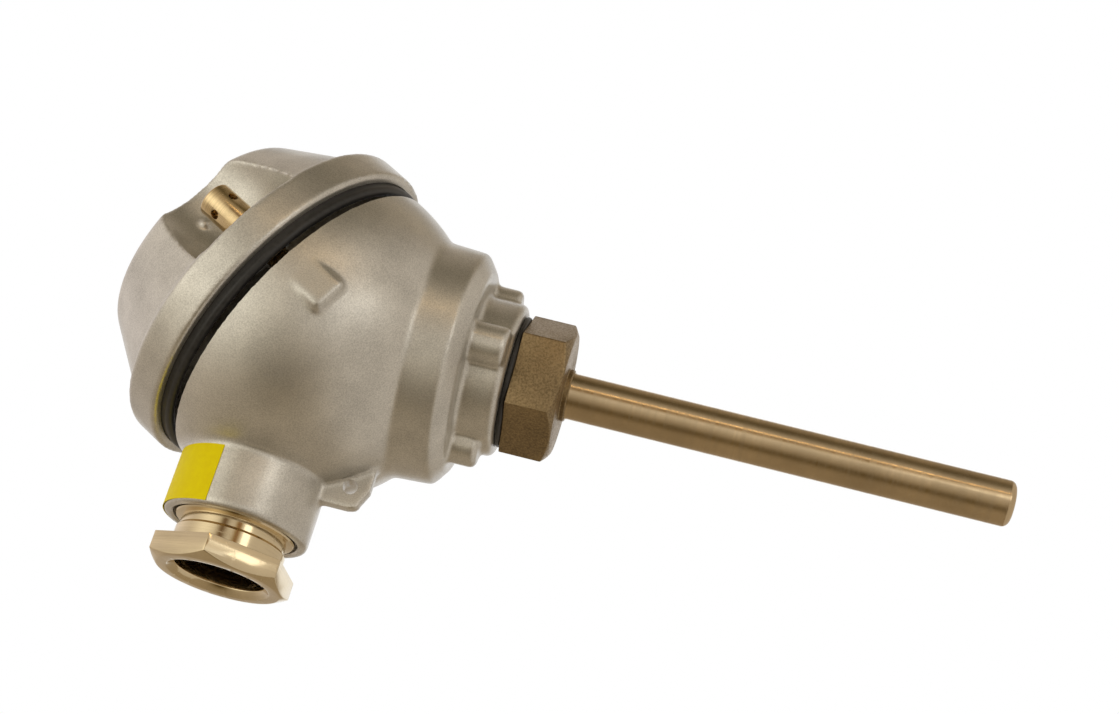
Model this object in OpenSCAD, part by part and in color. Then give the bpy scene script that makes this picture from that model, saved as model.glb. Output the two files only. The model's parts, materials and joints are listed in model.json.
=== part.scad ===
// Resistance thermometer with a slanted-lid connection head.
// Origin: centre of the shoulder where the bare stem leaves the adapter.
// +Z runs up the stem's axis into the head, and the cable entry points to -X.

/* [Stem] */
// Outside diameter of the protection tube
stem_d = 10; // [8:0.5:12]
// Length of the tube from the adapter's shoulder to its tip
stem_len = 96; // [60:1:300]
// Wall of the protection tube
stem_wall = 1.5; // [1:0.1:1.6]
// Thickness of the tube's closed end
stem_floor = 2; // [1.5:0.1:4]
// Radius of the rounded edge at the tip
tip_round = 1.5; // [0.5:0.1:2]

/* [Adapter] */
// Width across the flats of the adapter's hexagon
hex_af = 27; // [26:0.5:32]
// Height of the hexagon
hex_h = 10.6; // [6:0.5:16]
// Turn of the hexagon about the stem
hex_turn = 21; // [-30:1:30]
// Diameter of the shoulder at the tube's root
shoulder_d = 11.4; // [11:0.1:14]
// Height of that shoulder
shoulder_h = 1.2; // [1:0.1:4]
// Diameter of the thread between adapter and head
neck_d = 24; // [22:0.5:26]
// Thickness of the flat seal under the head
neck_seal_h = 1.2; // [1:0.1:2]

/* [Bowl] */
// Outside radius of the bowl
bowl_r = 37; // [36.5:0.1:38]
// Wall of the bowl
bowl_wall = 3.2; // [2.6:0.1:3.6]
// Height of the bowl's centre above the collar's end
bowl_rise = 46.1; // [45:0.1:50]
// Slant of the lid's plane
tilt = 29; // [26:0.5:32]
// Radius of the neck ring
ring_r = 26; // [25.5:0.1:27]
// Taper of the neck ring, on the radius
ring_draft = 0.4; // [0:0.1:0.8]
// Radius of the collar
collar_r = 16.8; // [16:0.1:18]
// Height of the collar
collar_h = 8.6; // [7:0.1:10]
// Height of the bowl's floor above the collar's end
floor_h = 12; // [11.5:0.1:14]
// Radius of the screw lumps on the collar
lump_r = 4.5; // [4:0.1:4.8]
// Diameter of the circle that the lumps stand on
lump_pcd = 33; // [32:0.5:34]
// How far the lumps that hold the insert's screws stop short of the collar's end
screw_lump_gap = 0.6; // [0.2:0.1:2]
// How far the two side lumps stop short of the collar's end
side_lump_gap = 2.4; // [0.2:0.1:3]

/* [Cable entry] */
// Height of the entry's axis above the bowl's centre
entry_rise = 0.6; // [-2:0.1:2]
// Outside radius of the entry boss
entry_r = 15.5; // [15:0.1:17]
// Distance from the stem's axis to the end of the boss
entry_reach = 47.3; // [45:0.1:52]
// Radius of the thread in the boss
gland_r = 12; // [11.5:0.1:12.5]
// Radius of the recess at the boss's mouth
mouth_r = 13.4; // [13:0.1:14]
// Depth of that recess
mouth_h = 2; // [1:0.1:3]
// Radius of the cable hole
cable_r = 9.6; // [8:0.1:10]
// Depth of the threaded hole
gland_depth = 16.5; // [15:0.5:18]
// Thickness of the rubber seal
cable_seal_h = 7; // [5:0.5:8]
// Radius of the hole through the rubber seal
cable_seal_r = 6.5; // [3:0.5:8]
// Thickness of the thrust washer
washer_h = 1.2; // [0.8:0.1:2]
// Width across the flats of the pressure screw
gland_af = 27; // [27:0.5:30]
// Height of the pressure screw's hexagon
gland_hex_h = 5.2; // [4:0.1:8]
// How far the hexagon stands off the boss
gland_gap = 5.8; // [4:0.1:8]
// Turn of the pressure screw's hexagon about the entry's axis
gland_turn = 33; // [0:1:60]
// Pitch of the gland's thread
gland_pitch = 1.5; // [1:0.25:2]
// Angle at which the label starts, from straight down
label_start = -75; // [-90:1:0]
// Angle that the label goes round the boss
label_sweep = 105; // [60:1:180]

/* [Lug] */
// Thickness of the tag lug
lug_t = 3.2; // [2.5:0.1:4]
// Radius of the hole in the lug
lug_hole_r = 1.6; // [1.2:0.1:2]

/* [Lid] */
// Radius of the lid's rim
lid_r = 39.1; // [38.5:0.1:40]
// Height of the lid's rim above the bowl's edge
lid_gap = 4.5; // [4.5:0.05:5]
// Height of the lid's band
band_h = 8.3; // [8:0.1:10]
// Radius at the foot of the slanted side
side_r = 36.7; // [36.3:0.1:37.2]
// Radius at the crown's edge
crown_r = 26.5; // [25:0.1:27]
// Height of the slanted side
side_h = 18.6; // [17:0.1:20]
// Rise of the domed crown
dome_h = 0.9; // [0.5:0.1:2]
// Rounding between side and crown
crown_round = 4; // [2:0.5:5]
// Wall of the lid
lid_wall = 2.6; // [2:0.1:3]
// Radius of the scoop round each lid screw
scoop_r = 13.2; // [12.5:0.1:13.5]
// Distance of the scoop's centre from the lid's middle
scoop_y = 34.3; // [34:0.1:35]
// Sideways place of the scoop's centre
scoop_u = 1; // [-1:0.1:3]
// Height of the scoop's floor above the bowl's edge
scoop_k = 12.2; // [12:0.1:13]

/* [Lid seal] */
// Outer radius of the lid's rubber ring
seal_r = 37.15; // [37:0.05:37.5]
// Width of the rubber ring
seal_w = 2.2; // [1.6:0.1:2.3]
// Height of the ring's lower edge above the bowl's edge
seal_k = 1.9; // [1.6:0.1:2.4]
// Depth of the ring's groove in the lid
groove_h = 1.9; // [1.5:0.1:2.5]

/* [Lid screws] */
// Radius of the lid screws' thread
lid_screw_r = 2.5; // [2:0.1:2.5]
// Radius of their capstan heads
head_r = 3.8; // [3.5:0.1:4.5]
// Length of the capstan heads
head_h = 10.6; // [8:0.1:12]
// Radius of the cross holes in the heads
cross_r = 1; // [0.8:0.1:1.2]
// Distance of the screws from the lid's middle
screw_y = 31.2; // [31:0.1:31.4]
// Sideways place of the screws
screw_u = 0; // [-1:0.1:2]
// Depth that the screws reach below the bowl's edge
screw_reach = 10; // [8:0.5:11]
// Turn of the heads' cross holes
cross_turn = 37; // [-45:1:45]

/* [Measuring insert] */
// Diameter of the insert's sheath
sheath_d = 6; // [5:0.1:6.2]
// Wall of the sheath
sheath_wall = 0.5; // [0.4:0.1:0.6]
// Radius of the insert's flange
flange_r = 21; // [20:0.5:21.5]
// Thickness of the flange
flange_h = 1.5; // [1:0.1:2]
// Radius of the ceramic terminal block
block_r = 18.5; // [18:0.1:19]
// Height of the terminal block
block_h = 10; // [9:0.5:11]
// Distance of the terminals from the middle
post_ring = 11.5; // [11:0.1:12]
// Radius of the mounting screws
mount_r = 2; // [1.5:0.1:2]
// Travel of the spring-loaded insert
push = 4; // [2:0.5:5]

/* [Fits] */
// Running clearance of threads and turning pieces, on the radius
run_gap = 0.05; // [0.02:0.01:0.1]
// Loose clearance, on the radius
loose_gap = 0.2; // [0.1:0.05:0.3]

/* [Hidden] */

$fn = 96;
eps = 0.01;

// Levels on the stem's axis
hex_z = shoulder_h;
seal_z = hex_z + hex_h;
seat_z = seal_z + neck_seal_h;
collar_z = seat_z + collar_h;
floor_z = seat_z + floor_h;
bowl_z = seat_z + bowl_rise;
entry_z = bowl_z + entry_rise;
cavity_r = bowl_r - bowl_wall;
well_r = ring_r - ring_draft - bowl_wall;
neck_r = neck_d / 2;
stem_r = stem_d / 2;
stem_bore = stem_r - stem_wall;

// Distances along the entry, from the stem's axis outwards
shelf_t = entry_reach - gland_depth;
shelf_h = 4;
washer_t = shelf_t + cable_seal_h;
nose_t = washer_t + washer_h;
hex_t = entry_reach + gland_gap;
end_t = hex_t + gland_hex_h;
gland_collar_h = 3.2;
countersink = 1.4;

// Heights over the bowl's edge, along the lid's own axis
band_k = lid_gap + band_h;
crown_k = band_k + side_h;
slant = atan((side_r - crown_r) / side_h);
dish_r = seal_r - seal_w - 1;
boss_r = 4.6;
clip_h = 0.8;
clip_r = 4.4;
clip_drop = 0.2;
above_lid = crown_k + 10;
lid_floor = 3;
foot_turn = tan((90 - slant) / 2);

// Insert levels
sheath_r = sheath_d / 2;
flange_z = floor_z;
block_z = flange_z + flange_h;
block_top = block_z + block_h;
tip_z = -stem_len + stem_floor;
element_r = 1.4;
element_h = 15;
core_r = sheath_r - sheath_wall;
core_foot = tip_z + sheath_wall + 0.2;
element_z = core_foot + 1;
element_top = element_z + element_h;
wire_r = 0.4;
wire_ring = 1.3;
wire_turn = 2;
wire_z = block_top - 3;
post_w = 5.5;
post_d = 6;
post_h = 7;
post_foot = block_top - 5;
post_top = post_foot + post_h;
clamp_r = 1.5;
mount_head_z = block_top + push + 1.5;
mount_head_h = 2.6;
mount_head_r = 3.5;
mount_foot = floor_z - 8;
slot_w = 1;
spring_r = 2.85;
spring_wire = 0.4;

// Earth screw
earth_r = 2;
earth_washer_r = earth_r + 1.9;
earth_boss_r = 4;
earth_reach = 5;
earth_washer_h = 0.8;
earth_x = well_r;
earth_z = bowl_z - sqrt(pow(cavity_r, 2) - pow(earth_x + 0.3, 2)) + earth_washer_r;

// ---------- helpers ----------

function arc(cx, cy, r, a0, a1, n) =
    [for (i = [0:n]) let (a = a0 + (a1 - a0) * i / n) [cx + r * cos(a), cy + r * sin(a)]];

module at_lid() {
    translate([0, 0, bowl_z]) rotate([0, tilt, 0]) children();
}

module at_entry() {
    translate([0, 0, entry_z]) rotate([0, -90, 0]) children();
}

module tube(r_out, r_in, h) {
    difference() {
        cylinder(r = r_out, h = h);
        translate([0, 0, -eps]) cylinder(r = r_in, h = h + 2 * eps);
    }
}

module both_sides() {
    children();
    mirror([0, 1, 0]) children();
}

// Hexagon whose corners are turned down at 30 degrees on the end faces that are named
module hexagon(af, h, low, high) {
    corner = af / sqrt(3);
    land_r = af / 2 - 0.4;
    drop = (corner - land_r) * tan(30);
    intersection() {
        cylinder(r = corner, h = h, $fn = 6);
        rotate_extrude() polygon([[0, 0],
            [low ? land_r : corner, 0],
            [corner, low ? drop : 0],
            [corner, high ? h - drop : h],
            [high ? land_r : corner, h],
            [0, h]]);
    }
}

// Screwdriver slot, cut upwards from its floor
module slot(r) {
    translate([-r - 1, -slot_w / 2, 0]) cube([2 * r + 2, slot_w, r]);
}

// ---------- head ----------

// Ring, collar and their chamfers, turned about the stem's axis
module neck_shape() {
    edge = 1.5;
    step_r = 21.9;
    step_h = 1.9;
    draft_h = 13;
    rotate_extrude() polygon(concat(
        [[0, seat_z]],
        arc(collar_r - edge, seat_z + edge, edge, -90, 0, 6),
        [[collar_r, collar_z], [step_r, collar_z]],
        arc(ring_r - ring_draft - edge, collar_z + step_h + edge, edge, -55, 0, 6),
        [[ring_r, collar_z + draft_h], [ring_r, bowl_z], [0, bowl_z]]));
}

module lump(gap) {
    edge = 1.3;
    foot = seat_z + gap;
    translate([lump_pcd / 2, 0, 0]) rotate_extrude() polygon(concat(
        [[0, foot]],
        arc(lump_r - edge, foot + edge, edge, -90, 0, 5),
        [[lump_r, collar_z + 3], [0, collar_z + 3]]));
}

module entry_boss(reach) {
    at_entry() translate([0, 0, shelf_t - shelf_h]) cylinder(r = entry_r, h = reach - shelf_t + shelf_h);
}

module below_lid_plane() {
    reach = 2 * bowl_r;
    at_lid() translate([-reach, -reach, -2 * reach]) cube(2 * reach);
}

module screw_pad() {
    pad_w = 8.2;
    pad_low = 13;
    pad_face = bowl_r - 0.3;
    edge = 1.5;
    translate([screw_u, -pad_face, -pad_low]) rotate([-90, 0, 0]) mirror([0, 1, 0])
        linear_extrude(pad_face - screw_y) polygon(concat(
            arc(-pad_w / 2 + edge, edge, edge, -180, -90, 4),
            arc(pad_w / 2 - edge, edge, edge, -90, 0, 4),
            [[pad_w / 2, pad_low - 1], [-pad_w / 2, pad_low - 1]]));
}

// Flat lug for a tag, between the boss and the neck ring
module lug() {
    lug_y = -2;
    lug_h = 9;
    edge = 1.8;
    nose = 1.3;
    high = entry_z - entry_r + 3;
    low = high - 2.4;
    outer = entry_reach - 9.8;
    foot = low - lug_h;
    difference() {
        translate([0, lug_y + lug_t / 2, 0]) rotate([90, 0, 0]) linear_extrude(lug_t)
            polygon(concat([[-outer + 2, high], [-outer, low]],
                arc(-outer + edge, foot + edge, edge, 180, 262, 5),
                [[-outer + 4.5, foot - nose], [-ring_r + 1, foot - nose], [-ring_r + 1, high]]));
        translate([-outer + 4.5, lug_y, foot + 2.9]) rotate([90, 0, 0])
            cylinder(r = lug_hole_r, h = 2 * lug_t, center = true);
    }
}

module body_outside() {
    intersection() {
        union() {
            translate([0, 0, bowl_z]) sphere(r = bowl_r);
            neck_shape();
            entry_boss(entry_reach);
        }
        below_lid_plane();
    }
    for (a = [0, 180]) rotate([0, 0, a]) lump(side_lump_gap);
    for (a = [90, 270]) rotate([0, 0, a]) lump(screw_lump_gap);
    lug();
    at_lid() both_sides() screw_pad();
}

module body_cavity() {
    translate([0, 0, bowl_z]) sphere(r = cavity_r);
    translate([0, 0, floor_z]) cylinder(r = well_r, h = bowl_rise - floor_h);
}

// Bosses that stand into the hollow of the bowl
module inner_bosses() {
    screw_foot = screw_reach + 5;
    intersection() {
        translate([0, 0, bowl_z]) sphere(r = bowl_r - 1);
        union() {
            entry_boss(bowl_r);
            at_lid() both_sides() translate([screw_u, -screw_y, -screw_foot])
                cylinder(r = boss_r, h = screw_foot);
            translate([earth_x, 0, earth_z]) rotate([0, 90, 0]) cylinder(r = earth_boss_r, h = bowl_r - earth_x);
        }
        below_lid_plane();
    }
}

module head_body() {
    color("silver") difference() {
        union() {
            difference() {
                body_outside();
                body_cavity();
            }
            inner_bosses();
        }
        translate([0, 0, seat_z - 1]) cylinder(r = neck_r, h = floor_h + 2);
        at_entry() {
            translate([0, 0, shelf_t]) cylinder(r = gland_r, h = gland_depth + 1);
            translate([0, 0, entry_reach - mouth_h]) cylinder(r = mouth_r, h = mouth_h + 1);
            translate([0, 0, shelf_t - shelf_h - 1]) cylinder(r = cable_r, h = shelf_h + 2);
        }
        at_lid() both_sides() translate([screw_u, -screw_y, -screw_reach - 2])
            cylinder(r = lid_screw_r + run_gap, h = screw_reach + 3);
        for (s = [-1, 1]) translate([0, s * lump_pcd / 2, mount_foot - 1])
            cylinder(r = mount_r + run_gap, h = floor_z - mount_foot + 2);
        translate([earth_x - 1, 0, earth_z]) rotate([0, 90, 0])
            cylinder(r = earth_r + run_gap, h = earth_reach + 2);
    }
}

// ---------- lid ----------

module lid_outside() {
    edge = 1;
    foot_round = min(2.3, 0.95 * (lid_r - edge - side_r) / foot_turn);
    shoulder_r = crown_r - crown_round * foot_turn;
    shoulder_k = crown_k - crown_round;
    dome_r = (shoulder_r * shoulder_r + dome_h * dome_h) / (2 * dome_h);
    rotate_extrude() polygon(concat(
        [[0, lid_gap]],
        arc(lid_r - 0.5, lid_gap + 0.5, 0.5, -90, 0, 4),
        arc(lid_r - edge, band_k - edge, edge, 0, 90, 6),
        arc(side_r + foot_round * foot_turn, band_k + foot_round, foot_round, 270, 180 + slant, 5),
        arc(shoulder_r, shoulder_k, crown_round, slant, 90, 8),
        [for (i = [1:8]) let (r = shoulder_r * (1 - i / 8))
            [r, crown_k + dome_h - dome_r + sqrt(dome_r * dome_r - r * r)]]));
}

module lid_inside() {
    inset = lid_wall / cos(slant);
    rotate_extrude() polygon([[0, 0], [dish_r, 0], [dish_r, band_k - lid_wall / 2],
        [crown_r - inset, crown_k - lid_wall], [0, crown_k - lid_wall]]);
}

module lid() {
    color("silver") at_lid() difference() {
        lid_outside();
        difference() {
            lid_inside();
            both_sides() translate([scoop_u, -scoop_y, scoop_k - lid_floor])
                cylinder(r = scoop_r + lid_wall, h = above_lid);
        }
        both_sides() {
            translate([scoop_u, -scoop_y, scoop_k]) cylinder(r = scoop_r, h = above_lid);
            translate([screw_u, -screw_y, 0]) cylinder(r = lid_screw_r + run_gap, h = above_lid);
            translate([screw_u, -screw_y, 0]) cylinder(r = clip_r + loose_gap, h = scoop_k - lid_floor);
        }
        translate([0, 0, lid_gap - 1]) tube(seal_r, seal_r - seal_w, groove_h + 1);
    }
}

module lid_seal() {
    top_k = lid_gap + groove_h;
    bead = seal_w / 2;
    color([0.06, 0.06, 0.07]) at_lid() rotate_extrude()
        translate([seal_r - bead, 0]) polygon(concat(
            arc(0, seal_k + bead, bead, 180, 360, 12),
            [[bead, top_k], [-bead, top_k]]));
}

module lid_screw() {
    edge = 0.5;
    point = 0.6;
    cross_drop = 4.1;
    translate([screw_u, -screw_y, 0]) difference() {
        union() {
            translate([0, 0, -screw_reach]) cylinder(r1 = lid_screw_r - point, r2 = lid_screw_r, h = point);
            translate([0, 0, -screw_reach + point])
                cylinder(r = lid_screw_r, h = screw_reach - point + scoop_k + 1);
            translate([0, 0, scoop_k]) rotate_extrude() polygon([[0, 0], [head_r, 0],
                [head_r, head_h - edge], [head_r - edge, head_h], [0, head_h]]);
        }
        for (a = [0, 90]) translate([0, 0, scoop_k + head_h - cross_drop])
            rotate([90, 0, cross_turn + a]) cylinder(r = cross_r, h = 3 * head_r, center = true);
    }
}

module lid_screw_front() {
    color("darkkhaki") at_lid() lid_screw();
}

module lid_screw_rear() {
    color("darkkhaki") at_lid() mirror([0, 1, 0]) lid_screw();
}

module screw_clip() {
    translate([screw_u, -screw_y, scoop_k - lid_floor - clip_drop - clip_h])
        tube(clip_r, lid_screw_r, clip_h);
}

module screw_clip_front() {
    color("gray") at_lid() screw_clip();
}

module screw_clip_rear() {
    color("gray") at_lid() mirror([0, 1, 0]) screw_clip();
}

// ---------- cable entry ----------

module pressure_screw() {
    thread_r = gland_r - run_gap;
    root_r = thread_r - 0.6 * gland_pitch;
    collar_t = hex_t - gland_collar_h;
    turns = floor((collar_t - nose_t - 1) / gland_pitch);
    ridge = function (i) [[thread_r, nose_t + (i + 0.35) * gland_pitch],
        [thread_r, nose_t + (i + 0.6) * gland_pitch],
        [root_r, nose_t + (i + 0.95) * gland_pitch],
        [root_r, nose_t + (i + 1) * gland_pitch]];
    color([0.85, 0.8, 0.65]) at_entry() difference() {
        union() {
            rotate_extrude() polygon(concat(
                [[0, nose_t], [root_r, nose_t]],
                [for (i = [0:turns - 1]) each ridge(i)],
                [[root_r, collar_t], [thread_r - 0.2, collar_t + 0.2],
                    [thread_r - 0.2, hex_t + 1], [0, hex_t + 1]]));
            translate([0, 0, hex_t]) rotate([0, 0, gland_turn]) hexagon(gland_af, gland_hex_h, false, true);
        }
        translate([0, 0, nose_t - 1]) cylinder(r = cable_r, h = end_t - nose_t + 2);
        translate([0, 0, end_t - countersink])
            cylinder(r1 = cable_r, r2 = cable_r + countersink, h = countersink + eps);
    }
}

module thrust_washer() {
    color("lightgray") at_entry() translate([0, 0, washer_t])
        tube(gland_r - loose_gap, cable_r, washer_h);
}

module cable_seal() {
    color([0.1, 0.1, 0.1]) at_entry() translate([0, 0, shelf_t])
        tube(gland_r - loose_gap, cable_seal_r, cable_seal_h);
}

module entry_label() {
    label_t = 0.12;
    margin = 0.5;
    start = sqrt(bowl_r * bowl_r - entry_r * entry_r) + 0.9;
    color("gold") at_entry() translate([0, 0, start]) rotate([0, 0, label_start])
        rotate_extrude(angle = label_sweep) translate([entry_r, 0])
            square([label_t, entry_reach - margin - start]);
}

// ---------- adapter and tube ----------

module neck_seal() {
    color([0.08, 0.08, 0.08]) translate([0, 0, seal_z])
        tube(collar_r - 2.4, neck_r + loose_gap, neck_seal_h);
}

module hex_adapter() {
    thread_top = floor_z - 0.5;
    color("tan") difference() {
        union() {
            cylinder(d = shoulder_d, h = shoulder_h + 1);
            translate([0, 0, hex_z]) rotate([0, 0, 30 + hex_turn]) hexagon(hex_af, hex_h, true, false);
            translate([0, 0, seal_z - 1]) cylinder(r = neck_r - run_gap, h = thread_top - seal_z + 1);
        }
        translate([0, 0, -1]) cylinder(r = stem_bore, h = floor_z + 2);
    }
}

module protection_tube() {
    color("tan") difference() {
        rotate_extrude() polygon(concat(
            [[0, 0], [0, -stem_len]],
            arc(stem_r - tip_round, -stem_len + tip_round, tip_round, -90, 0, 6),
            [[stem_r, 0]]));
        translate([0, 0, tip_z]) cylinder(r = stem_bore, h = stem_len + 1);
    }
}

// ---------- measuring insert ----------

module insert_sheath() {
    color("silver") difference() {
        translate([0, 0, tip_z]) cylinder(r = sheath_r, h = block_z - tip_z + 1);
        translate([0, 0, tip_z + sheath_wall]) cylinder(r = core_r, h = block_z - tip_z + 2);
    }
}

module mount_holes(r) {
    for (s = [-1, 1]) translate([0, s * lump_pcd / 2, flange_z - 1]) cylinder(r = r, h = block_h + 10);
}

module insert_flange() {
    color("silver") difference() {
        translate([0, 0, flange_z]) cylinder(r = flange_r, h = flange_h);
        translate([0, 0, flange_z - 1]) cylinder(r = sheath_r, h = flange_h + 2);
        mount_holes(mount_r + loose_gap);
    }
}

module terminal_block() {
    color("ivory") difference() {
        translate([0, 0, block_z]) cylinder(r = block_r, h = block_h);
        translate([0, 0, block_z - 1]) cylinder(r = 4.5, h = block_h + 2);
        mount_holes(spring_r + spring_wire + 0.9);
        for (a = [45:90:315]) rotate([0, 0, a]) translate([0, -post_w / 2 - loose_gap, post_foot])
            cube([block_r + 1, post_w + 2 * loose_gap, 6]);
    }
}

module at_posts() {
    for (a = [45:90:315]) rotate([0, 0, a]) translate([post_ring, 0, 0]) children();
}

module terminal_posts() {
    color("goldenrod") at_posts() difference() {
        translate([-post_d / 2, -post_w / 2, post_foot]) cube([post_d, post_w, post_h]);
        translate([0, 0, wire_z]) rotate([0, 90, 0]) cylinder(r = 1.1, h = post_d + 2, center = true);
        translate([0, 0, wire_z + 0.5]) cylinder(r = clamp_r, h = post_h);
    }
}

module terminal_screws() {
    foot = wire_z + wire_r + 0.3;
    color("darkkhaki") at_posts() difference() {
        union() {
            translate([0, 0, foot]) cylinder(r = clamp_r, h = post_top - foot + 1);
            translate([0, 0, post_top]) cylinder(r = clamp_r + 1.1, h = 1.8);
        }
        translate([0, 0, post_top + 0.9]) slot(clamp_r + 1.1);
    }
}

module mounting_screws() {
    color("silver") for (s = [-1, 1]) translate([0, s * lump_pcd / 2, 0]) difference() {
        union() {
            translate([0, 0, mount_foot]) cylinder(r = mount_r, h = mount_head_z - mount_foot + 1);
            translate([0, 0, mount_head_z]) cylinder(r = mount_head_r, h = mount_head_h);
        }
        translate([0, 0, mount_head_z + 1.4]) slot(mount_head_r);
    }
}

// Helix whose first and last half turns lie flat
module mounting_spring() {
    low = block_z + spring_wire;
    high = mount_head_z - spring_wire;
    turns = 6;
    steps = 12;
    sides = 6;
    last = turns * steps;
    flat = steps / 2;
    rise = function (i) min(1, max(0, (i - flat) / (last - 2 * flat)));
    ring = function (i) let (a = 360 * i / steps)
        [for (j = [0:sides - 1]) let (b = 360 * j / sides, r = spring_r + spring_wire * cos(b))
            [r * cos(a), r * sin(a), low + (high - low) * rise(i) + spring_wire * sin(b)]];
    points = [for (i = [0:last]) each ring(i)];
    walls = [for (i = [0:last - 1], j = [0:sides - 1]) let (k = (j + 1) % sides)
        each [[i * sides + j, (i + 1) * sides + j, (i + 1) * sides + k],
            [i * sides + j, (i + 1) * sides + k, i * sides + k]]];
    caps = [[for (j = [0:sides - 1]) j], [for (j = [sides - 1:-1:0]) last * sides + j]];
    polyhedron(points, concat(walls, caps));
}

module mounting_springs() {
    color("gray") for (s = [-1, 1]) translate([0, s * lump_pcd / 2, 0]) mounting_spring();
}

module lead_wires() {
    foot = element_top;
    rise = wire_z - wire_turn;
    color("firebrick") for (a = [45:90:315]) rotate([0, 0, a]) {
        translate([wire_ring, 0, foot]) cylinder(r = wire_r, h = rise - foot, $fn = 24);
        translate([wire_ring + wire_turn, 0, rise]) rotate([90, 0, 180])
            rotate_extrude(angle = 90, $fn = 48) translate([wire_turn, 0]) circle(r = wire_r, $fn = 24);
        translate([wire_ring + wire_turn, 0, wire_z]) rotate([0, 90, 0])
            cylinder(r = wire_r, h = post_ring - wire_ring - wire_turn, $fn = 24);
    }
}

module mineral_core() {
    color("white") difference() {
        translate([0, 0, core_foot]) cylinder(r = core_r, h = block_z - core_foot);
        translate([0, 0, element_z]) cylinder(r = element_r, h = element_h);
        for (a = [45:90:315]) rotate([0, 0, a]) translate([wire_ring, 0, element_top - 1])
            cylinder(r = wire_r, h = block_z - element_top + 2, $fn = 24);
    }
}

module sensing_element() {
    color("whitesmoke") translate([0, 0, element_z]) cylinder(r = element_r, h = element_h);
}

// ---------- earth terminal ----------

module at_earth() {
    translate([earth_x, 0, earth_z]) rotate([0, -90, 0]) children();
}

module earth_screw() {
    color("goldenrod") at_earth() difference() {
        union() {
            translate([0, 0, -earth_reach]) cylinder(r = earth_r, h = earth_reach + earth_washer_h + 1);
            translate([0, 0, earth_washer_h]) cylinder(r = earth_r + 1.5, h = 2.4);
        }
        translate([0, 0, earth_washer_h + 1.3]) slot(earth_r + 1.5);
    }
}

module earth_washer() {
    color("silver") at_earth() tube(earth_washer_r, earth_r, earth_washer_h);
}

head_body();
lid();
lid_seal();
lid_screw_front();
lid_screw_rear();
screw_clip_front();
screw_clip_rear();
pressure_screw();
thrust_washer();
cable_seal();
entry_label();
neck_seal();
hex_adapter();
protection_tube();
insert_sheath();
insert_flange();
terminal_block();
terminal_posts();
terminal_screws();
mounting_screws();
mounting_springs();
lead_wires();
mineral_core();
sensing_element();
earth_screw();
earth_washer();
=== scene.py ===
"""Resistance thermometer with a slanted-lid connection head.

The solid model is loaded as a fixed frame. Each operator models one piece, or one group of like
pieces, over it and gives it its finish. Lengths are metres, and +Z runs up the stem into the head.
"""
import json
import math

import bpy
from bpy.props import FloatProperty, FloatVectorProperty, IntProperty, PointerProperty
from mathutils import Matrix, Vector


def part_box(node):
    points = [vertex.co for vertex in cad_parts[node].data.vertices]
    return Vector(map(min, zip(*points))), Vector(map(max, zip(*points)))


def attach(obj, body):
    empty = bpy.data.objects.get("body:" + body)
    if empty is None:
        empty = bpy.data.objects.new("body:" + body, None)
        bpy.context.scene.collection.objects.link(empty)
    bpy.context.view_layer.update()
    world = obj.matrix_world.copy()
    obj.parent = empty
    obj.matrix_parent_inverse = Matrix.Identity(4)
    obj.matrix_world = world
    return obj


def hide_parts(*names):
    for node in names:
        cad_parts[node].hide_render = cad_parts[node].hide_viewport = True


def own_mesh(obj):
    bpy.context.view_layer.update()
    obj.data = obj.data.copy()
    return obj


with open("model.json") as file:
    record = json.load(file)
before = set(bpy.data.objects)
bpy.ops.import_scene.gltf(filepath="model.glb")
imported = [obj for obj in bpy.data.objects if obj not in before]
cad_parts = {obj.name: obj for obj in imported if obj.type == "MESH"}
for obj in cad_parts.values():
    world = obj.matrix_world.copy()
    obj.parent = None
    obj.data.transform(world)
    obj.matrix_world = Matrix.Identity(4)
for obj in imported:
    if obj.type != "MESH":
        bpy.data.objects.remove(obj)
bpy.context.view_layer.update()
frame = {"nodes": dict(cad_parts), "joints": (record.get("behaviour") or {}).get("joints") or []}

bl_info = {
    "name": "Resistance Thermometer",
    "version": (1, 0, 0),
    "blender": (4, 5, 0),
    "location": "View3D > Sidebar > Thermometer",
    "description": "Connection head, gland, adapter, stem and measuring insert with their finishes",
    "category": "Object",
}

MM = 0.001
WELD = 0.001 * MM
JOINTS = {joint["name"]: joint for joint in frame["joints"]}


# ---------- places ----------

class Place:
    """Axis of a turned piece, with a side direction that angles are counted from."""

    def __init__(self, origin, axis, side):
        self.origin = Vector(origin)
        self.axis = Vector(axis).normalized()
        side = Vector(side)
        self.side = (side - side.dot(self.axis) * self.axis).normalized()
        self.across = self.axis.cross(self.side)

    def at(self, radius, height, angle=0.0):
        """Point at a radius, a height along the axis and an angle in degrees."""
        turn = math.radians(angle)
        out = math.cos(turn) * self.side + math.sin(turn) * self.across
        return self.origin + radius * out + height * self.axis

    def moved(self, side, across, height=0.0):
        """Parallel place, shifted within its own directions."""
        shift = side * self.side + across * self.across + height * self.axis
        return Place(self.origin + shift, self.axis, self.side)

    def rotation(self):
        """Euler turn that brings the world's axes onto side, across and axis."""
        return Matrix((self.side, self.across, self.axis)).transposed().to_euler()


def joint_point(name):
    """Place of a hinge on its axis."""
    return Vector(JOINTS[name]["pos_m"])


# ---------- sizes ----------

def length(description, millimetres):
    """Length property with its default given in millimetres."""
    return FloatProperty(description=description, default=millimetres * MM, unit="LENGTH", precision=5)


def colour(description, value):
    """Colour property."""
    return FloatVectorProperty(description=description, default=value, subtype="COLOR", size=3,
                               min=0.0, max=1.0)


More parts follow.
